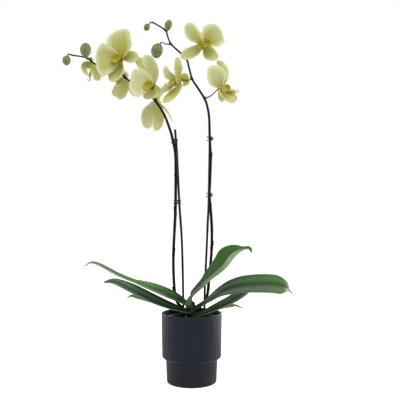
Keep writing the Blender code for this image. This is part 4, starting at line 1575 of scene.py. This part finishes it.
@dataclass
class StemClip:
    """A small sprung claw that holds a spike to its stake: two jaws, a hinge, a coil and two grips.

    The two ends of its middle line, the jaws' reach and the coil's measures are in millimetres, and the
    jaws' turn is in degrees.
    """

    name: str
    stem: Triple
    stake: Triple
    jaw_gap: float = 3.1 * MM
    jaw_turn: Pair = (-18, 186)
    jaw_reach: Pair = (4.3, 3.4)
    bar: float = 0.75 * MM
    post_half: float = 3.6 * MM
    post_radius: float = 0.8 * MM
    coil_turns: int = 5
    coil_radius: float = 1.45
    coil_half: float = 2.2
    wire: float = 0.28 * MM
    grip: Triple = (0.7 * MM, 2.2 * MM, 2.6 * MM)
    finish: Finish = MOULDED_NYLON

    def build(self, bench: Bench) -> None:
        """Makes the clip.

        Args:
            bench: where the piece goes.
        """
        shape = Shape()
        stem, stake = mm(*self.stem), mm(*self.stake)
        middle = (stem + stake) / 2
        away = (stake - stem).normalized()
        side = away.cross(UP)
        for level in (-1, 1):
            for hand in (-1, 1):
                heart = middle + UP * (level * self.jaw_gap) * (1 + 0.12 * hand)
                self.jaw(shape, heart, away, (stake - stem).length / 2, hand)
                # The claws' tips cross and stand out at both sides.
                for x in (-1, 1):
                    root = heart + Vector((x * 3.6, hand * 0.9, 0)) * MM
                    tip = root + Vector((x * 3.3, -0.6 * hand, level * 0.7 * (0.4 + hand))) * MM
                    tooth = Route.bowed(root, tip, UP * 0.3 * MM, 6)
                    shape.rod(tooth, lambda t: mix(0.7, 0.28, t) * MM, 6, 8)
        hinge = middle + side * 3.3 * MM
        self.spring(shape, hinge)
        for hand in (-1, 1):
            grip = hinge + side * 2.4 * MM + away * (2.0 * hand) * MM
            axis = (side + away * (0.5 * hand)).normalized()
            shape.ball(grip, self.grip, axis, 16, 10, self.squared)
        bench.place(self.name + "_claw", shape, self.finish, Slot.CLIP, [self.name])

    def jaw(self, shape: Shape, heart: Vector, away: Vector, reach: float, hand: int) -> None:
        """Adds one jaw, bent round both stems.

        Args:
            shape: what it joins.
            heart: the point that it goes round.
            away: the direction from the spike to the stake.
            reach: half the way between the two.
            hand: -1 or 1, the side that it starts on.
        """
        side = away.cross(UP)
        stops = []
        for k in range(9):
            turn = math.radians(mix(*self.jaw_turn, k / 8)) * hand
            wide = mix(*self.jaw_reach, k / 8) * MM
            stops.append(heart - away * ((reach + wide) * math.cos(turn)) + side * (wide * math.sin(turn)))
        shape.rod(Route.through(stops, 6), lambda t: self.bar * mix(0.55, 1, ramp(t, 0, 0.3)), 28, 8)

    def spring(self, shape: Shape, hinge: Vector) -> None:
        """Adds the hinge post and the coil round it.

        Args:
            shape: what they join.
            hinge: the post's middle.
        """
        post = Route([hinge - UP * self.post_half, hinge + UP * self.post_half])
        shape.rod(post, lambda t: self.post_radius * mix(0.6, 1, ramp(min(t, 1 - t), 0, 0.08)), 20, 10)
        coil = []
        for k in range(61):
            spot = hinge + bearing(2 * math.pi * self.coil_turns * k / 60) * self.coil_radius * MM
            coil.append(spot + UP * mix(-self.coil_half, self.coil_half, k / 60) * MM)
        shape.rod(Route(coil), lambda t: self.wire, 150, 6)

    @staticmethod
    def squared(spot: Vector) -> tuple[Vector, float]:
        """Squares a ball's sides, so that it becomes a soft-edged pad."""
        return Vector(math.copysign(abs(v) ** 0.6, v) for v in spot), 0.0


# --- spikes --------------------------------------------------------------------------------------


@dataclass
class FlowerSpike:
    """One spike: its stem, the stalk of each flower and bud, and the scales at its joints."""

    name: str
    stops: tuple[Triple, ...]
    stalks: dict[str, tuple[Triple, ...]]
    joints: tuple[float, ...]
    foot_radius: float = 2.95 * MM
    tip_radius: float = 1.45 * MM
    taper_from: float = 0.5
    knot_height: float = 0.5 * MM
    knot_length: float = 2.6 * MM
    stalk_scale: Pair = (6.5 * MM, 2.1 * MM)
    joint_scale: Pair = (15 * MM, 3.4 * MM)
    finish: Finish = StalkSkin("Orchid spike skin")

    def build(self, bench: Bench) -> None:
        """Makes the spike.

        Args:
            bench: where the piece goes.
        """
        route = Route.through([mm(*stop) for stop in self.stops], 14)
        shape = Shape()
        starts = {key: self.nearest(route, mm(*points[0])) for key, points in self.stalks.items()}
        knots = [*self.joints, *starts.values()]
        shape.rod(route, lambda t: self.thickness(route, knots, t), 420, 14, self.tint)
        for key, points in self.stalks.items():
            stalk = Route.through(self.stalk_stops(key, points), 12)
            freshest = 0.95 if key.startswith("left") else 0.75
            shape.rod(
                stalk,
                lambda t: mix(1.55, 1.2, ramp(t, 0, 0.4)) * MM * (1 + 0.35 * ramp(t, 0.75, 1.0)),
                36,
                12,
                lambda t, freshest=freshest: mix(0.25, freshest, ramp(t, 0.0, 0.7)),
            )
            self.scale(shape, route, starts[key], stalk.heading(0.1), *self.stalk_scale)
        for i, share in enumerate(self.joints):
            out = Vector((1 if i % 2 else -1, -0.5, 0)).normalized()
            self.scale(shape, route, share, out, *self.joint_scale)
        bench.place(self.name + "_stem", shape, self.finish, Slot.SPIKE, [self.name])

    @staticmethod
    def nearest(route: Route, spot: Vector) -> float:
        """The share of the route's length that lies nearest a point."""
        return min((i / 600 for i in range(601)), key=lambda share: (route.at(share) - spot).length)

    def thickness(self, route: Route, knots: Sequence[float], share: float) -> float:
        """The stem's radius, with a knot at each joint.

        Args:
            route: the stem's middle line.
            knots: the shares of its length where they are.
            share: how far along it.

        Returns:
            The radius.
        """
        size = self.plain_radius(share)
        for knot in knots:
            size += self.knot_height * hump(share * route.length, knot * route.length, self.knot_length)
        return size * mix(0.4, 1, ramp(1 - share, 0, 0.004))

    def plain_radius(self, share: float) -> float:
        """The stem's radius between its joints."""
        taper = max(0.0, share - self.taper_from) / (1 - self.taper_from)
        return mix(self.foot_radius, self.tip_radius, taper)

    @staticmethod
    def tint(share: float) -> float:
        """How fresh the skin is along the stem."""
        return 0.02 + 0.3 * ramp(share, 0.85, 1.0)

    def stalk_stops(self, key: str, points: tuple[Triple, ...]) -> list[Vector]:
        """The points that a stalk passes, ending just short of what it carries.

        Args:
            key: the flower or bud.
            points: its start on the stem and its bends.

        Returns:
            The points.
        """
        stops = [mm(*point) for point in points]
        if key in BUDS:
            bud = BUDS[key]
            toward = Vector(bud.stalk).normalized()
            reach = bud.reach(toward) * MM
            middle = mm(*bud.centre)
        else:
            toward = Vector(FLOWERS[key].back).normalized()
            reach = 2.2 * MM
            middle = FLOWERS[key].middle
        return [*stops, middle + toward * (reach + 4 * MM), middle + toward * (reach - 0.6 * MM)]

    def scale(self, shape: Shape, route: Route, share: float, out: Vector, long: float, half: float) -> None:
        """Adds the papery scale at a joint.

        Args:
            shape: what it joins.
            route: the stem's middle line.
            share: where the joint is.
            out: the side that it grows on.
            long: its length.
            half: half its width.
        """
        ahead = route.heading(share)
        spot = route.at(share)
        out = (out - ahead * out.dot(ahead)).normalized()
        size = self.plain_radius(share)
        stops = [
            spot + out * size * 0.7 - ahead * 1.5 * MM,
            spot + out * (size + 0.45 * MM) + ahead * long * 0.4,
            spot + out * (size + 1.1 * MM) + ahead * long,
        ]
        scale = Blade(
            spine=Route.through(stops, 8),
            half=half,
            normal=out,
            front=ahead.cross(out),
            cup=-0.55,
            outline=(0.8, 0.35, 0.8),
            thick=0.5 * MM,
            edge=0.25 * MM,
            tone=0.3,
        )
        shape.sheet(10, 6, scale.row, 1.4)


# --- buds ----------------------------------------------------------------------------------------


SEAMS = (0.5, 2.6, 4.7)  # where a bud's three seams run, as angles round it


@dataclass(frozen=True)
class Bud:
    """A closed bud: three sepals that meet in seams. Millimetres."""

    centre: Triple
    radii: Triple
    axis: Triple
    stalk: Triple

    def reach(self, toward: Vector) -> float:
        """How far its surface is from its middle, in a direction."""
        ahead = toward.dot(Vector(self.axis).normalized())
        beside = math.sqrt(max(0.0, 1 - ahead**2))
        return 1 / math.hypot(ahead / self.radii[2], beside / self.radii[0])

    @staticmethod
    def seamed(spot: Vector) -> tuple[Vector, float]:
        """Presses three seams into an egg and draws its end to a blunt point."""
        around = math.atan2(spot.y, spot.x)
        gap = min(abs((around - seam + math.pi) % (2 * math.pi) - math.pi) for seam in SEAMS)
        seam = math.exp(-((gap / 0.13) ** 2)) * (1 - spot.z**4)
        swell = 1 - 0.09 * seam - 0.05 * math.cos(3 * (around - SEAMS[0]))
        taper = 1 - 0.16 * max(0.0, spot.z) ** 3
        return Vector((spot.x * swell * taper, spot.y * swell * taper, spot.z)), 0.8 * seam

    def build(self, bench: Bench, name: str, finish: Finish) -> None:
        """Makes the bud.

        Args:
            bench: where the piece goes.
            name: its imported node.
            finish: its surface.
        """
        shape = Shape()
        shape.ball(mm(*self.centre), [r * MM for r in self.radii], Vector(self.axis), 60, 32, self.seamed)
        bench.place(name + "_egg", shape, finish, Slot.BUD, [name])


BUDS = {
    "bud_left_inner": Bud((-211, -5, 662), (11, 10.5, 14), (0.05, 0, 1), (0.1, 0.5, -0.9)),
    "bud_left_tip": Bud((-252.5, 11, 644.5), (8.2, 8, 9.9), (0.1, 0, 1), (0.25, 0, 1)),
    "bud_right_lower": Bud((-70, 11, 664), (11.8, 11.5, 15.3), (0.25, 0, 1), (0.45, 0, 0.9)),
    "bud_right_upper": Bud((-46.5, 1, 713), (7.3, 7.2, 10.8), (0.25, 0, 1), (-0.2, 0.5, -0.8)),
    "bud_right_tip": Bud((-90.5, 11, 711.5), (6.2, 6.1, 7.4), (0.3, 0, 1), (0.6, 0, 0.8)),
}


# --- flowers -------------------------------------------------------------------------------------


SEPAL_OUTLINE = (0.28, 0.55, 0.5)
PETAL_OUTLINE = (0.2, 0.6, 0.43)


@dataclass(frozen=True)
class Tepal:
    """One petal or sepal, in millimetres and degrees. Its tip and bow are seen from the flower's middle."""

    tip: Triple
    width: float
    bow: Triple
    roll: float = 0.0
    pale: float = 0.15


@dataclass(frozen=True)
class Flower:
    """One open flower: where it hangs, where it looks, and its petals, sepals and lip."""

    hub: Triple
    face: Triple
    back: Triple
    sepals: tuple[Tepal, ...]
    petals: tuple[Tepal, ...]
    lip: Triple
    lip_size: float = 1.0
    # How much paler or darker the whole flower is painted, as painted light and shade.
    painted_light_shift: float = 0.0
    petal_lift: float = 3.2 * MM
    column_length: float = 7 * MM

    @property
    def middle(self) -> Vector:
        """Where everything grows from."""
        return mm(*self.hub)

    @property
    def look(self) -> Vector:
        """The way it faces."""
        return Vector(self.face).normalized()

    @property
    def drop(self) -> Vector:
        """The way the lip hangs, square to the way the flower faces."""
        look = self.look
        drop = mm(*self.lip) - look * mm(*self.lip).dot(look)
        if drop.length < 3 * MM:
            drop = FRONT - UP * 2
            drop -= look * drop.dot(look)
        return drop.normalized()

    def layer(
        self, shape: Shape, centre: Vector, tepals: Sequence[Tepal], outline: Triple, seed: float
    ) -> None:
        """Adds the blades that grow from one place.

        Args:
            shape: what they join.
            centre: where they grow from.
            tepals: their measures.
            outline: the form of their edges.
            seed: what makes their ripples their own.
        """
        face = self.look
        shape.ball(centre, (2.5 * MM, 2.5 * MM, 2.0 * MM), face, 16, 10)
        for i, tepal in enumerate(tepals):
            end = self.middle + mm(*tepal.tip) + (centre - self.middle)
            start = centre + (end - centre).normalized() * 0.9 * MM
            blade = Blade(
                spine=Route.bowed(start, end, mm(*tepal.bow)),
                half=tepal.width / 2 * MM,
                normal=face,
                front=face.cross(end - centre),
                roll=(tepal.roll, tepal.roll),
                cup=0.12,
                outline=outline,
                groove=0.35 * MM,
                ruffle=min(1.0, tepal.width / 40) * 2.6 * MM,
                uneven=0.15,
                seed=seed + 5.3 * i,
                tone=tepal.pale + self.painted_light_shift,
            )
            shape.sheet(24, 12, blade.row, 2.0)

    def build(self, bench: Bench, key: str, seed: float, finishes: "FlowerFinishes") -> None:
        """Makes the flower.

        Args:
            bench: where the pieces go.
            key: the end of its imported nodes' names.
            seed: what makes its ripples its own.
            finishes: its surfaces.
        """
        sepals = Shape()
        self.layer(sepals, self.middle, self.sepals, SEPAL_OUTLINE, seed)
        bench.place(f"sepals_{key}_blades", sepals, finishes.sepal, Slot.SEPAL, [f"sepals_{key}"], 1)
        petals = Shape()
        front = self.middle + self.look * self.petal_lift
        self.layer(petals, front, self.petals, PETAL_OUTLINE, seed + 1.9)
        bench.place(f"petals_{key}_blades", petals, finishes.petal, Slot.PETAL, [f"petals_{key}"], 1)
        self.column(bench, key, finishes.column)
        self.lip_piece(bench, key, finishes.lip)

    def column(self, bench: Bench, key: str, finish: Finish) -> None:
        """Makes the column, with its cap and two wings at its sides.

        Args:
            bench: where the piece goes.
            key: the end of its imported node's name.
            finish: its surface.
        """
        face, drop = self.look, self.drop
        start = self.middle + face * (self.petal_lift - MM)
        end = start + face * self.column_length + drop * 1.2 * MM
        route = Route.bowed(start, end, -drop * 0.7 * MM)

        def girth(share: float) -> float:
            """The column's radius: slim along its middle, fuller under the cap, and rounded off."""
            size = 2.2 - 0.4 * hump(share, 0.45, 0.2) + 0.3 * hump(share, 0.85, 0.12)
            return size * MM * mix(0.35, 1, ramp(1 - share, 0, 0.1))

        shape = Shape()
        shape.rod(route, girth, 26, 18, flat=0.85)
        cap = route.at(0.97) - drop * 0.5 * MM
        shape.ball(cap, (1.6 * MM, 1.6 * MM, 1.4 * MM), face - drop * 0.4, 20, 12)
        for hand in (-1, 1):
            wing = route.at(0.8) + face.cross(drop) * (1.9 * hand) * MM + drop * 0.8 * MM
            shape.ball(wing, (0.9 * MM, 0.9 * MM, 2.2 * MM), face, 12, 8)
        bench.place(f"column_{key}", shape, finish, Slot.PETAL, [f"petals_{key}"])

    def lip_piece(self, bench: Bench, key: str, finish: Finish) -> None:
        """Makes the lip: a keeled middle lobe, two side lobes that stand up, a callus and two whiskers.

        Args:
            bench: where the piece goes.
            key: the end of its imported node's name.
            finish: its surface.
        """
        shape = Shape()
        hub, face, drop = self.middle, self.look, self.drop
        size = self.lip_size * MM
        start = hub + face * 4.5 * MM + drop * 2.2 * MM
        end = start.lerp(hub + mm(*self.lip) + drop * 2 * MM, 0.9)
        out = (end - start).normalized()
        up = face * 0.4 - drop
        up = (up - out * up.dot(out)).normalized()
        beside = out.cross(up)
        long = (end - start).length

        def keel(share: float) -> Row:
            """The middle lobe's cross section at a share of its length."""
            half = max(8.5 * hump(share, 0.12, 0.25) + 10.5 * hump(share, 0.68, 0.24), 2.0) * size
            return Row(
                here=start + out * (share * long) - up * (math.sin(share * math.pi) * 3.0 * MM),
                width=beside,
                face=up,
                half=half * max(0.12, 1 - share**7),
                lift=math.radians(46 - 18 * share),
                thick=0.9 * MM,
                edge=0.45 * MM,
                groove=0.4 * MM,
                tone=lambda side: ramp(1 - share, 0.62, 0.85) * ramp(1 - abs(side), 0.2, 0.6),
            )

        shape.sheet(30, 14, keel)
        for hand in (-1, 1):
            stops = [
                start + beside * (1.0 * hand) * size,
                start + (beside * (8.0 * hand) + face * 5.0 + drop * 0.5) * size,
                start + (beside * (13.0 * hand) + face * 13.0 - drop * 5.0) * size,
            ]
            lobe = Blade(
                spine=Route.through(stops, 10),
                half=10.0 * size,
                normal=(beside * (-0.5 * hand) + face * 0.85 - drop * 0.1).normalized(),
                cup=0.3,
                outline=(0.55, 0.62, 0.5),
                thick=0.8 * MM,
                edge=0.4 * MM,
                ruffle=0.8 * MM,
                seed=hand * 2.0,
            )
            shape.sheet(18, 10, lobe.row, 1.8)
        callus = start + out * (0.22 * long) + up * 0.4 * MM
        for hand in (-1, 1):
            knob = callus + beside * (1.3 * hand) * MM
            shape.ball(knob, (1.4 * MM, 1.4 * MM, 2.3 * MM), up + out * 0.3, 14, 10)
            stops = [end - out * 1.5 * MM + beside * (0.8 * hand) * MM]
            for i in range(7):
                turn = math.radians(-55 + 46 * i)
                ring = (3.0 - 0.2 * i) * MM
                sweep = beside * (hand * (1.2 + 0.5 * i)) * MM
                curl = (out * math.cos(turn) + up * math.sin(turn)) * ring
                stops.append(end + up * 2.0 * MM + curl + sweep)
            shape.rod(Route.through(stops, 8), lambda t: mix(0.65, 0.32, t) * MM, 40, 8, under=1.0)
        bench.place(f"lip_{key}_lobes", shape, finish, Slot.LIP, [f"lip_{key}"])


@dataclass(frozen=True)
class FlowerFinishes:
    """The surfaces of a flower's parts."""

    sepal: Finish = PetalTissue(
        "Sepal tissue", heart="#aaa02a", inner="#adac48", outer="#bebe6e", pale="#dcdca6", stain_reach=0.22
    )
    petal: Finish = PetalTissue("Petal tissue")
    column: Finish = PetalTissue(
        "Column tissue",
        heart="#8a7a1c",
        inner="#a69a34",
        outer="#bdb468",
        pale="#cfc98e",
        vein="#9c9036",
        stain_reach=0.6,
    )
    lip: Finish = LipTissue("Lip tissue")


FLOWERS = {
    "left_a": Flower(
        (-72, 34, 566), (-0.25, 0.9, -0.35), (-0.1, -0.6, 0.8),
        (Tepal((-3, -4, -61), 24, (6, -1, 0)), Tepal((33, 14, -43), 17, (4, 2, 3), 78, 0.4),
         Tepal((-10, 32, 30), 22, (0, 4, 4))),
        (Tepal((-16, 6, -54), 28, (-9, 0, 3), 0, 0.4), Tepal((0, 38, 12), 20, (0, 4, 0))),
        (-8, 34, -26),
        painted_light_shift=0.25,
    ),
    "left_b": Flower(
        (-72, -20, 588), (-0.5, -0.86, 0), (0.5, 0.86, 0.1),
        (Tepal((-41, 18, 60), 22, (4, 4, 4)), Tepal((10, 10, -20), 20, (2, 2, 0), 0, 0.6),
         Tepal((-14, 0, -27), 36, (-2, 2, -2), 0, 0.4)),
        (Tepal((-48, 6, 10), 58, (-4, -4, 1), 0, 0.4), Tepal((-22, 0, 54), 30, (11, -4, 4), 12, 0.3)),
        (-20, -30, -9),
    ),
    "left_c": Flower(
        (-137, 30, 613), (-0.4, 0.85, -0.35), (0.1, -0.6, 0.8),
        (Tepal((-13, -4, -44), 22, (4, -1, 0)), Tepal((20, 5, -37), 18, (3, 0, 0), -20, 0.5),
         Tepal((-6, 34, 22), 20, (0, 4, 3))),
        (Tepal((-20, 7, -36), 20, (-3, 0, 0), 0, 0.5), Tepal((2, 38, 10), 18, (0, 4, 0))),
        (-22, 28, -30),
        painted_light_shift=0.25,
    ),
    "left_d": Flower(
        (-138, -20, 640), (-0.3, -0.95, 0.05), (0.2, 0.95, -0.15),
        (Tepal((-32, 12, 28), 27, (0, 2, 2)), Tepal((33, 6, 4), 26, (0, 2, 3)),
         Tepal((-19, -2, -45), 30, (0, 2, -1))),
        (Tepal((-50, 4, -4), 64, (-2, -3, 0), 0, 0.25), Tepal((-6, 0, 56), 55, (1, -4, 2), 0, 0.25)),
        (-13, -34, -11),
        painted_light_shift=-0.38,
    ),
    "left_e": Flower(
        (-205, 24, 644), (-0.5, 0.75, -0.45), (0.1, -0.8, 0.6),
        (Tepal((-5, 0, -28), 17, (-11, 0, 4), 20), Tepal((14, 0, -38), 25, (3, -2, 1)),
         Tepal((-4, 26, 16), 16, (0, 3, 2))),
        (Tepal((-18, 16, -12), 18, (-3, 2, 3)), Tepal((5, 30, 6), 14, (0, 3, 0))),
        (-8, 22, -34),
        0.55,
    ),
    "right_a": Flower(
        (56, 5, 588), (0.92, -0.36, -0.1), (-0.75, 0.1, -0.6),
        (Tepal((-13, 6, 40), 20, (-2, 1, 0)), Tepal((35, -6, -22), 27, (-3, 0, -4), -42, 0.3),
         Tepal((6, 14, -26), 13, (0, 3, 0), -80)),
        (Tepal((-14, -18, 42), 40, (-2, -6, -1), 42, 0.3), Tepal((-8, 14, 57), 20, (12, 4, 1), -78, 0.5)),
        (37, -13, -9),
    ),
    "right_b": Flower(
        (-24, 12, 605), (-0.83, -0.55, -0.05), (0.95, 0.1, 0.05),
        (Tepal((-34, -2, -45), 22, (12, 0, 2), 15, 0.3), Tepal((17, 4, -8), 34, (2, 2, 4), 0, 0.3),
         Tepal((-7, 10, 48), 32, (2, 2, 0))),
        (Tepal((-30, 14, 30), 22, (-4, 0, -4), 0, 0.5), Tepal((-36, -2, -28), 24, (-4, 0, -2), 0, 0.4)),
        (-28, -22, -14),
        painted_light_shift=-0.2,
    ),
    "right_c": Flower(
        (23, -8, 671), (0.05, -0.99, 0.1), (-0.6, 0.7, -0.3),
        (Tepal((-5, 20, 30), 20, (0, 3, 2)), Tepal((-45, 6, -23), 24, (0, 2, -2)),
         Tepal((29, 4, -27), 27, (-1, 2, -2), 0, 0.3)),
        (Tepal((-27, 3, 44), 29, (-7, -3, -1), 0, 0.15), Tepal((36, 3, 27), 50, (2, -3, 4), 0, 0.15)),
        (4, -30, -8),
        painted_light_shift=-0.45,
    ),
}

SPIKES = (
    FlowerSpike(
        "spike_left",
        ((-5, 6, 137), (-20, 11, 147), (-31, 12, 160), (-35, 12, 185), (-37, 12, 222), (-37, 12, 256),
         (-35, 12, 300),
         (-33, 12, 340), (-32.5, 12, 380), (-32.3, 12, 420), (-33, 12, 455), (-37.9, 12, 482), (-44, 12, 505),
         (-57, 12, 538), (-75, 12, 565), (-90, 12, 581), (-109, 12, 594), (-129, 12, 606), (-142, 12, 616),
         (-165, 12, 627), (-185, 12, 633), (-199, 12, 640), (-208, 12, 648), (-222, 12, 652.5),
         (-241, 12, 655)),
        {
            "left_a": ((-72, 12, 562), (-73, 22, 572)),
            "left_b": ((-85, 12, 576), (-74, 6, 590)),
            "left_c": ((-134, 12, 609), (-136, 20, 620)),
            "left_d": ((-150, 12, 620), (-142, 4, 636)),
            "left_e": ((-203, 12, 643), (-204, 16, 651)),
            "bud_left_inner": ((-209, 12, 648.5), (-210, 6, 645)),
            "bud_left_tip": ((-240, 12, 655), (-247, 12, 656.5)),
        },
        (0.08, 0.2, 0.33, 0.45),
    ),
    FlowerSpike(
        "spike_right",
        ((5, 6, 137), (19, 11, 150), (31, 12, 170), (36, 12, 215), (40, 12, 262), (40.5, 12, 305),
         (38, 12, 345),
         (35.6, 12, 373), (37, 12, 410), (38, 12, 450), (36.3, 12, 487), (35, 12, 530), (30.5, 12, 555),
         (25, 12, 569),
         (13, 12, 588), (1, 12, 607), (-5.5, 12, 630), (-11, 12, 648.5), (-23, 12, 660), (-41, 12, 677),
         (-48, 12, 691), (-53, 12, 705), (-69, 12, 716), (-80, 12, 722)),
        {
            "right_a": ((26, 12, 568), (38, 11, 573)),
            "right_b": ((1, 12, 607), (-10, 12, 604.5)),
            "right_c": ((-11, 12, 648), (4, 8, 657)),
            "bud_right_lower": ((-41, 12, 677), (-52, 12, 678)),
            "bud_right_upper": ((-53, 12, 704.5), (-50.5, 8, 701)),
            "bud_right_tip": ((-79, 12, 721.7), (-84, 12, 721)),
        },
        (0.09, 0.22, 0.36, 0.5),
    ),
)


# --- the studio ----------------------------------------------------------------------------------


@dataclass(frozen=True)
class SoftBox:
    """A soft studio light that faces the plant."""

    name: str
    place: Triple
    size: Pair
    power: float
    aim: Triple = (0.0, 0.0, 0.4)

    def hang(self) -> None:
        """Puts the light in the scene."""
        lamp = bpy.data.lights.new(self.name, "AREA")
        lamp.shape = "RECTANGLE"
        lamp.size, lamp.size_y = self.size
        lamp.energy = self.power
        box = bpy.data.objects.new(self.name, lamp)
        bpy.context.scene.collection.objects.link(box)
        box.location = self.place
        box.rotation_euler = (Vector(self.aim) - Vector(self.place)).to_track_quat("-Z", "Y").to_euler()
        box.visible_camera = False


@dataclass
class Studio:
    """The white sweep, the lights and the camera."""

    sweep: float = 6.0
    camera_place: Triple = (0.0166, -1.28, 0.363)
    lens: float = 57.6
    front_glow: float = 0.3
    back_glow: float = 0.8
    glow_span: Pair = (-0.6, 0.5)
    finish: Finish = PaintedSweep("Matt white sweep")
    boxes: tuple[SoftBox, ...] = (
        SoftBox("Left soft box", (-1.05, 0.75, 0.3), (1.0, 1.4), 11),
        SoftBox("Right soft box", (1.05, 0.75, 0.3), (1.0, 1.4), 24),
        SoftBox("Front soft box", (0.0, -1.4, 1.7), (1.4, 1.0), 22),
    )

    def build(self, bench: Bench) -> None:
        """Lays the floor, lights it and sets the camera up.

        Args:
            bench: where finishes are kept.
        """
        floor = bmesh.new()
        bmesh.ops.create_grid(floor, x_segments=8, y_segments=8, size=self.sweep)
        mesh = bpy.data.meshes.new("floor")
        floor.to_mesh(mesh)
        floor.free()
        mesh.materials.append(bench.coat(self.finish))
        piece = bpy.data.objects.new("floor", mesh)
        bpy.context.scene.collection.objects.link(piece)
        piece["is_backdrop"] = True
        self.light_world()
        for box in self.boxes:
            box.hang()
        lens = bpy.data.cameras.new("Camera")
        lens.lens = self.lens
        lens.sensor_width = 36
        camera = bpy.data.objects.new("Camera", lens)
        bpy.context.scene.collection.objects.link(camera)
        camera.location = self.camera_place
        camera.rotation_euler = (math.pi / 2, 0, 0)
        bpy.context.scene.camera = camera
        bpy.context.scene.view_settings.view_transform = "Standard"

    def light_world(self) -> None:
        """Makes the room: white to look at, bright behind the plant and dimmer on the camera's side."""
        world = bpy.data.worlds.new("Studio room")
        bpy.context.scene.world = world
        world.use_nodes = True
        shader = next(node for node in world.node_tree.nodes if node.type == "BACKGROUND")
        board = Board(world.node_tree, shader)
        way = board.add("TexCoord", take="Generated")
        depth = board.add("SeparateXYZ", {"Vector": way}, take="Y")
        glow = board.remap(depth, *self.glow_span, self.front_glow, self.back_glow)
        seen = board.add("LightPath", take="Is Camera Ray")
        strength = board.switch(seen, glow, 1.0)
        board.wire(Color=(1, 1, 1, 1), Strength=strength)


def main() -> None:
    """Builds the orchid from the pot up, then the studio, and measures both sizes."""
    logging.basicConfig(level=logging.INFO, format="%(message)s")
    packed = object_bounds()
    bench = Bench()
    CoverPot().build(bench)
    GrowPot().build(bench)
    BarkBed().build(bench)
    LeafRosette().build(bench)
    Stakes().build(bench)
    for name, (stem, stake) in CLIPS.items():
        StemClip(name, stem, stake).build(bench)
    for spike in SPIKES:
        spike.build(bench)
    bud_skin = BudSkin("Bud skin")
    for name, bud in BUDS.items():
        bud.build(bench, name, bud_skin)
    finishes = FlowerFinishes()
    for seed, (key, flower) in enumerate(FLOWERS.items()):
        flower.build(bench, key, seed * 7.7, finishes)
    Studio().build(bench)
    LOG.info("%d pieces", len(bench.made))
    sizes = [[list(corner) for corner in box] for box in (packed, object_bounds())]


if __name__ == "__main__":
    main()
